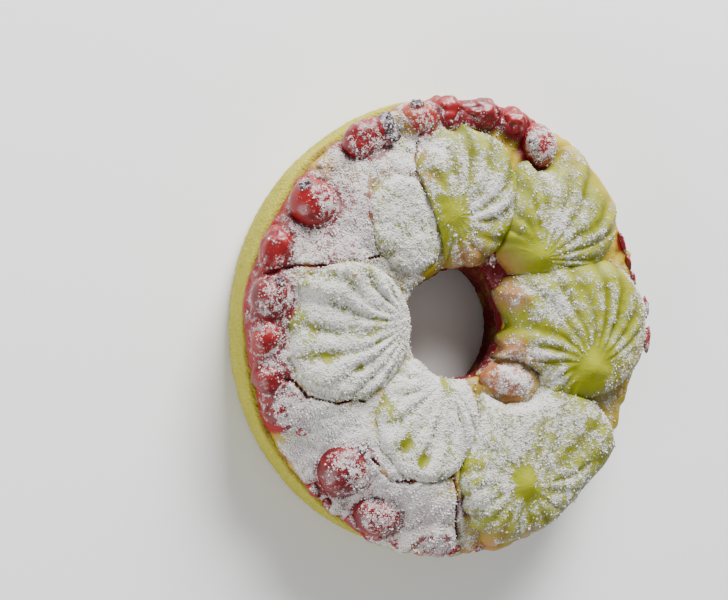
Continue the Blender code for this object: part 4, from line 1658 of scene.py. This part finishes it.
def make_bits(name, bits, material):
    """Small lumpy fragments lying on the cookie, all in one piece."""
    tilt = math.pi * np.arange(1, BIT_LOOPS + 1)[:, None] / (BIT_LOOPS + 1)
    around = 2.0 * math.pi * np.arange(BIT_CORNERS)[None, :] / BIT_CORNERS
    out = np.sin(tilt)
    face = np.stack([out * np.cos(around), out * np.sin(around), np.cos(tilt) + 0.0 * around], axis=-1)
    face = np.concatenate([[[0.0, 0.0, 1.0]], face.reshape(-1, 3), [[0.0, 0.0, -1.0]]])
    level = np.maximum(np.linalg.norm(face[:, :2], axis=1, keepdims=True), 1e-6)
    flat = 0.5 + 0.47 * np.degrees(np.arccos(face[:, 2:])) / 180.0 * face[:, :2] / level
    faces = dome_faces(BIT_LOOPS, BIT_CORNERS)
    layouts = dome_layout(flat, faces)
    cells = math.ceil(math.sqrt(len(bits)))
    all_points = []
    all_faces = [[], [], []]
    all_uv = [[], [], []]
    for number, bit in enumerate(bits):
        turn = math.radians(bit.turn)
        place = face * (bit.half_length, bit.half_width, bit.half_height)
        place = place * (1.0 + 0.4 * lumps(face * 1.4 + number * 7.3, 0.8, 61)[:, None])
        x = bit.x + place[:, 0] * math.cos(turn) - place[:, 1] * math.sin(turn)
        y = bit.y + place[:, 0] * math.sin(turn) + place[:, 1] * math.cos(turn)
        bed = surface_height(bit.x, bit.y) + 0.05 * bit.half_height
        all_points.append(np.stack([x, y, bed + place[:, 2]], axis=-1))
        cell = np.array([number % cells, number // cells])
        for group in range(3):
            all_faces[group].append(faces[group] + number * len(face))
            all_uv[group].append((layouts[group] + cell) / cells)
    points = np.concatenate(all_points)
    all_faces = [np.concatenate(group) for group in all_faces]
    all_uv = [np.concatenate(group) for group in all_uv]
    up = np.tile(face[:, 2], len(bits))
    looks = {
        "sugar": (0.42 + 0.3 * lumps(points, 1.0, 62)) * soft_step(up, -0.2, 0.6),
        "ripe": 0.7 + 0.3 * lumps(points, 1.3, 63),
        "crown": 0.0 * up,
    }
    return make_piece(name, points, all_faces, all_uv, looks, material, [])


def surface_height(x, y):
    """Height of the topmost surface at one place, rosettes and filling taken together."""
    x = np.array([float(x)])
    y = np.array([float(y)])
    height = filling_height(x, y)
    for rosette in ROSETTES:
        free = open_margin(rosette, x, y)
        if min(free[0], seam_margin(rosette, x, y)[0]) > 0.0:
            body = ROSETTE_STAND + rosette.body * rounded(free / ROSETTE_SHOULDER)
            height = np.maximum(height, filling_height(x, y) + body)
    return float(height[0])


def read_values(items, name, width, kind):
    """One property of all items of a mesh, as an array."""
    values = np.zeros(len(items) * width, kind)
    items.foreach_get(name, values)
    return values


def sugared_places():
    """Places, directions and chances of loose sugar, over every piece that carries some."""
    places = []
    normals = []
    weights = []
    for piece in list(bpy.data.objects):
        if piece.type != "MESH" or "sugar" not in piece.data.attributes:
            continue
        mesh = piece.data
        co = read_values(mesh.vertices, "co", 3, np.float32).reshape(-1, 3).astype(float) / MM
        normal = read_values(mesh.vertices, "normal", 3, np.float32).reshape(-1, 3).astype(float)
        sugar = read_values(mesh.attributes["sugar"].data, "value", 1, np.float32)
        corner = read_values(mesh.loops, "vertex_index", 1, np.int32)
        face_area = read_values(mesh.polygons, "area", 1, np.float32)
        sides = read_values(mesh.polygons, "loop_total", 1, np.int32)
        area = np.zeros(len(mesh.vertices))
        np.add.at(area, corner, np.repeat(face_area, sides))
        weight = area * np.clip(sugar - 0.15, 0.0, 1.0) ** 1.6 * soft_step(normal[:, 2], 0.1, 0.6)
        weight = weight * (0.15 + soft_step(lumps(co, 1.1, 51), -0.35, 0.55))
        places.append(co)
        normals.append(normal)
        weights.append(weight)
    return np.concatenate(places), np.concatenate(normals), np.concatenate(weights)


def scatter_sugar(maker):
    """Loose clumps of icing sugar on every sugared surface, more where the sugar is thick."""
    places, normals, weights = sugared_places()
    count = maker.grain_count
    chooser = np.random.default_rng(SEED)
    chosen = chooser.choice(len(places), count, p=weights / weights.sum())
    middle = places[chosen] + chooser.normal(0.0, GRAIN_WANDER, (count, 3))
    middle = middle + normals[chosen] * GRAIN_STAND
    size = maker.grain_size * 0.5 * np.exp(chooser.normal(0.0, 0.38, count))
    size = np.minimum(size, maker.grain_size)
    shape = np.array([[1, 0, 0], [0, 1, 0], [-1, 0, 0], [0, -1, 0], [0, 0, 0.8], [0, 0, -0.8]], float)
    spin = chooser.uniform(0.0, 2.0 * math.pi, count)
    stretch = chooser.uniform(0.7, 1.3, (count, 6, 1))
    turned = np.empty((count, 6, 3))
    turned[..., 0] = shape[:, 0] * np.cos(spin)[:, None] - shape[:, 1] * np.sin(spin)[:, None]
    turned[..., 1] = shape[:, 0] * np.sin(spin)[:, None] + shape[:, 1] * np.cos(spin)[:, None]
    turned[..., 2] = shape[:, 2]
    points = middle[:, None, :] + turned * stretch * size[:, None, None]
    sides = np.array([[0, 1, 4], [1, 2, 4], [2, 3, 4], [3, 0, 4], [1, 0, 5], [2, 1, 5], [3, 2, 5], [0, 3, 5]])
    number = np.arange(count)
    faces = (sides[None] + 6 * number[:, None, None]).reshape(-1, 3)
    cells = math.ceil(math.sqrt(count))
    cell = np.stack([number % cells, number // cells], axis=-1)[:, None, None, :]
    spot = 0.5 + 0.3 * shape[sides][None, :, :, :2]
    uv = (cell + spot) / cells
    recipe = Recipe("icing_sugar")
    tint = recipe.speckle(3.0, 1.0)
    colour = recipe.blend(maker.colours.sugar_white, GRAIN_PALE, tint.between(-1.0, 1.0))
    material = recipe.finish(colour, 0.9, tint, 0.01, {"Specular IOR Level": 0.3})
    piece = make_piece("icing_sugar", points.reshape(-1, 3), [faces], [uv], {}, material, [])
    piece.data.shade_flat()
    return piece


class COOKIE_OT_crust(bpy.types.Operator):
    """Makes the green shortcrust ring"""

    bl_idname = "cookie.crust"
    bl_label = "Shortcrust ring"

    def execute(self, context):
        make_crust(CookieMaker(context.scene))
        return {"FINISHED"}


class COOKIE_OT_filling(bpy.types.Operator):
    """Makes the golden filling with its cracks and juice"""

    bl_idname = "cookie.filling"
    bl_label = "Almond filling"

    def execute(self, context):
        make_filling(CookieMaker(context.scene))
        return {"FINISHED"}


class COOKIE_OT_rosettes(bpy.types.Operator):
    """Pipes the seven rosettes"""

    bl_idname = "cookie.rosettes"
    bl_label = "Piped rosettes"

    def execute(self, context):
        maker = CookieMaker(context.scene)
        colours = maker.colours
        material = sugared_dough("piped_dough", colours.dough_green, colours.dough_olive, colours)
        for rosette in ROSETTES:
            make_rosette(maker, rosette, material)
        return {"FINISHED"}


class COOKIE_OT_fruit(bpy.types.Operator):
    """Sets the currants and pieces of fruit"""

    bl_idname = "cookie.fruit"
    bl_label = "Currants and fruit"

    def execute(self, context):
        maker = CookieMaker(context.scene)
        colours = maker.colours
        finishes = {
            "red_fruit": berry_finish("red_currant", colours.berry_red, colours.berry_wine, colours, 0.5),
            "dried_fruit": berry_finish("dried_currant", colours.berry_red, colours.berry_wine, colours, 0.5),
            "pink_fruit": berry_finish("pink_fruit", colours.blush_peach, colours.berry_red, colours, 0.5),
        }
        for fruit in FRUIT:
            make_fruit(maker, fruit, finishes[fruit.slot])
        return {"FINISHED"}


class COOKIE_OT_crumbs(bpy.types.Operator):
    """Lays small fragments of fruit and of baked crust on the cookie"""

    bl_idname = "cookie.crumbs"
    bl_label = "Fruit bits and crumbs"

    def execute(self, context):
        colours = context.scene.cookie_colours
        red = berry_finish("red_bits", colours.berry_red, colours.berry_wine, colours, 0.6)
        make_bits("fruit_bits", FRUIT_BITS, red)
        baked = berry_finish("baked_crumbs", colours.crumb_peach, colours.cake_gold, colours, 0.2)
        make_bits("baked_crumbs", CRUMBS, baked)
        return {"FINISHED"}


class COOKIE_OT_icing_sugar(bpy.types.Operator):
    """Dusts loose clumps of icing sugar over the cookie"""

    bl_idname = "cookie.icing_sugar"
    bl_label = "Icing sugar"

    def execute(self, context):
        scatter_sugar(CookieMaker(context.scene))
        return {"FINISHED"}


class COOKIE_OT_studio(bpy.types.Operator):
    """Sets the floor, the soft lights and the camera"""

    bl_idname = "cookie.studio"
    bl_label = "Studio"

    def execute(self, context):
        scene = context.scene
        studio = scene.cookie_studio
        make_floor(studio)
        make_lights(scene, studio)
        make_camera(scene, studio)
        return {"FINISHED"}


def make_floor(studio):
    """A plain pale floor."""
    half = FLOOR_HALF_WIDTH
    corners = [(-half, -half, 0), (half, -half, 0), (half, half, 0), (-half, half, 0)]
    mesh = bpy.data.meshes.new("floor")
    mesh.from_pydata(corners, [], [(0, 1, 2, 3)])
    floor = bpy.data.objects.new("floor", mesh)
    floor.location.z = -FLOOR_DROP
    bpy.context.scene.collection.objects.link(floor)
    recipe = Recipe("pale_floor")
    recipe.feed(recipe.shader.inputs["Base Color"], studio.floor_colour)
    recipe.shader.inputs["Roughness"].default_value = 0.7
    recipe.shader.inputs["Specular IOR Level"].default_value = 0.1
    mesh.materials.append(recipe.material)
    return floor


def add_area(name, place, aim, size, power):
    """A soft square light at a place, pointing at another."""
    light = bpy.data.lights.new(name, "AREA")
    light.shape = "SQUARE"
    light.size = size
    light.energy = power
    lamp = bpy.data.objects.new(name, light)
    lamp.location = place
    lamp.rotation_euler = (Vector(aim) - Vector(place)).to_track_quat("-Z", "Y").to_euler()
    bpy.context.scene.collection.objects.link(lamp)
    return lamp


def make_lights(scene, studio):
    """A large light above, a weaker one from the side, and an even pale sky."""
    add_area("key_light", KEY_PLACE, KEY_AIM, KEY_WIDTH, studio.key_power)
    add_area("fill_light", FILL_PLACE, FILL_AIM, FILL_WIDTH, studio.fill_power)
    world = scene.world or bpy.data.worlds.new("sky")
    scene.world = world
    world.use_nodes = True
    sky = world.node_tree.nodes["Background"]
    sky.inputs["Color"].default_value = SKY_COLOUR
    sky.inputs["Strength"].default_value = studio.sky_strength


def make_camera(scene, studio):
    """A camera at the photograph's viewing angle."""
    tilt = studio.camera_tilt
    roll = studio.camera_roll
    back = Vector((-math.sin(tilt), 0.0, math.cos(tilt)))
    level_right = Vector((math.cos(tilt), 0.0, math.sin(tilt)))
    level_up = Vector((0.0, 1.0, 0.0))
    right = math.cos(roll) * level_right - math.sin(roll) * level_up
    up = math.sin(roll) * level_right + math.cos(roll) * level_up
    lens = bpy.data.cameras.new("camera")
    lens.lens = studio.camera_lens
    lens.sensor_width = 36.0
    lens.clip_start = 0.01
    camera = bpy.data.objects.new("camera", lens)
    place = studio.camera_right * right + studio.camera_up * up + studio.camera_distance * back
    turn = Matrix((right, up, back)).transposed().to_4x4()
    camera.matrix_world = Matrix.Translation(place) @ turn
    scene.collection.objects.link(camera)
    scene.camera = camera


class COOKIE_PT_panel(bpy.types.Panel):
    """Settings and steps of the cookie"""

    bl_idname = "COOKIE_PT_panel"
    bl_label = "Pistachio Ring Cookie"
    bl_space_type = "VIEW_3D"
    bl_region_type = "UI"
    bl_category = "Cookie"

    def draw(self, context):
        layout = self.layout
        scene = context.scene
        for group in (scene.cookie_sizes, scene.cookie_colours, scene.cookie_studio):
            box = layout.box()
            for name in group.__annotations__:
                box.prop(group, name)
        for step in STEPS:
            layout.operator(step.bl_idname)


STEPS = (
    COOKIE_OT_crust,
    COOKIE_OT_filling,
    COOKIE_OT_rosettes,
    COOKIE_OT_fruit,
    COOKIE_OT_crumbs,
    COOKIE_OT_icing_sugar,
    COOKIE_OT_studio,
)
CLASSES = (CookieSizes, CookieColours, StudioSettings, *STEPS, COOKIE_PT_panel)


def register():
    """Registers the classes and hangs the settings on the scene."""
    for kind in CLASSES:
        bpy.utils.register_class(kind)
    bpy.types.Scene.cookie_sizes = PointerProperty(type=CookieSizes)
    bpy.types.Scene.cookie_colours = PointerProperty(type=CookieColours)
    bpy.types.Scene.cookie_studio = PointerProperty(type=StudioSettings)


def unregister():
    """Takes the settings and classes away again."""
    del bpy.types.Scene.cookie_studio
    del bpy.types.Scene.cookie_colours
    del bpy.types.Scene.cookie_sizes
    for kind in reversed(CLASSES):
        bpy.utils.unregister_class(kind)


def main():
    """Makes every piece in order."""
    register()
    bpy.ops.cookie.crust()
    bpy.ops.cookie.filling()
    bpy.ops.cookie.rosettes()
    bpy.ops.cookie.fruit()
    bpy.ops.cookie.crumbs()
    bpy.ops.cookie.icing_sugar()
    bpy.ops.cookie.studio()


if __name__ == "__main__":
    main()
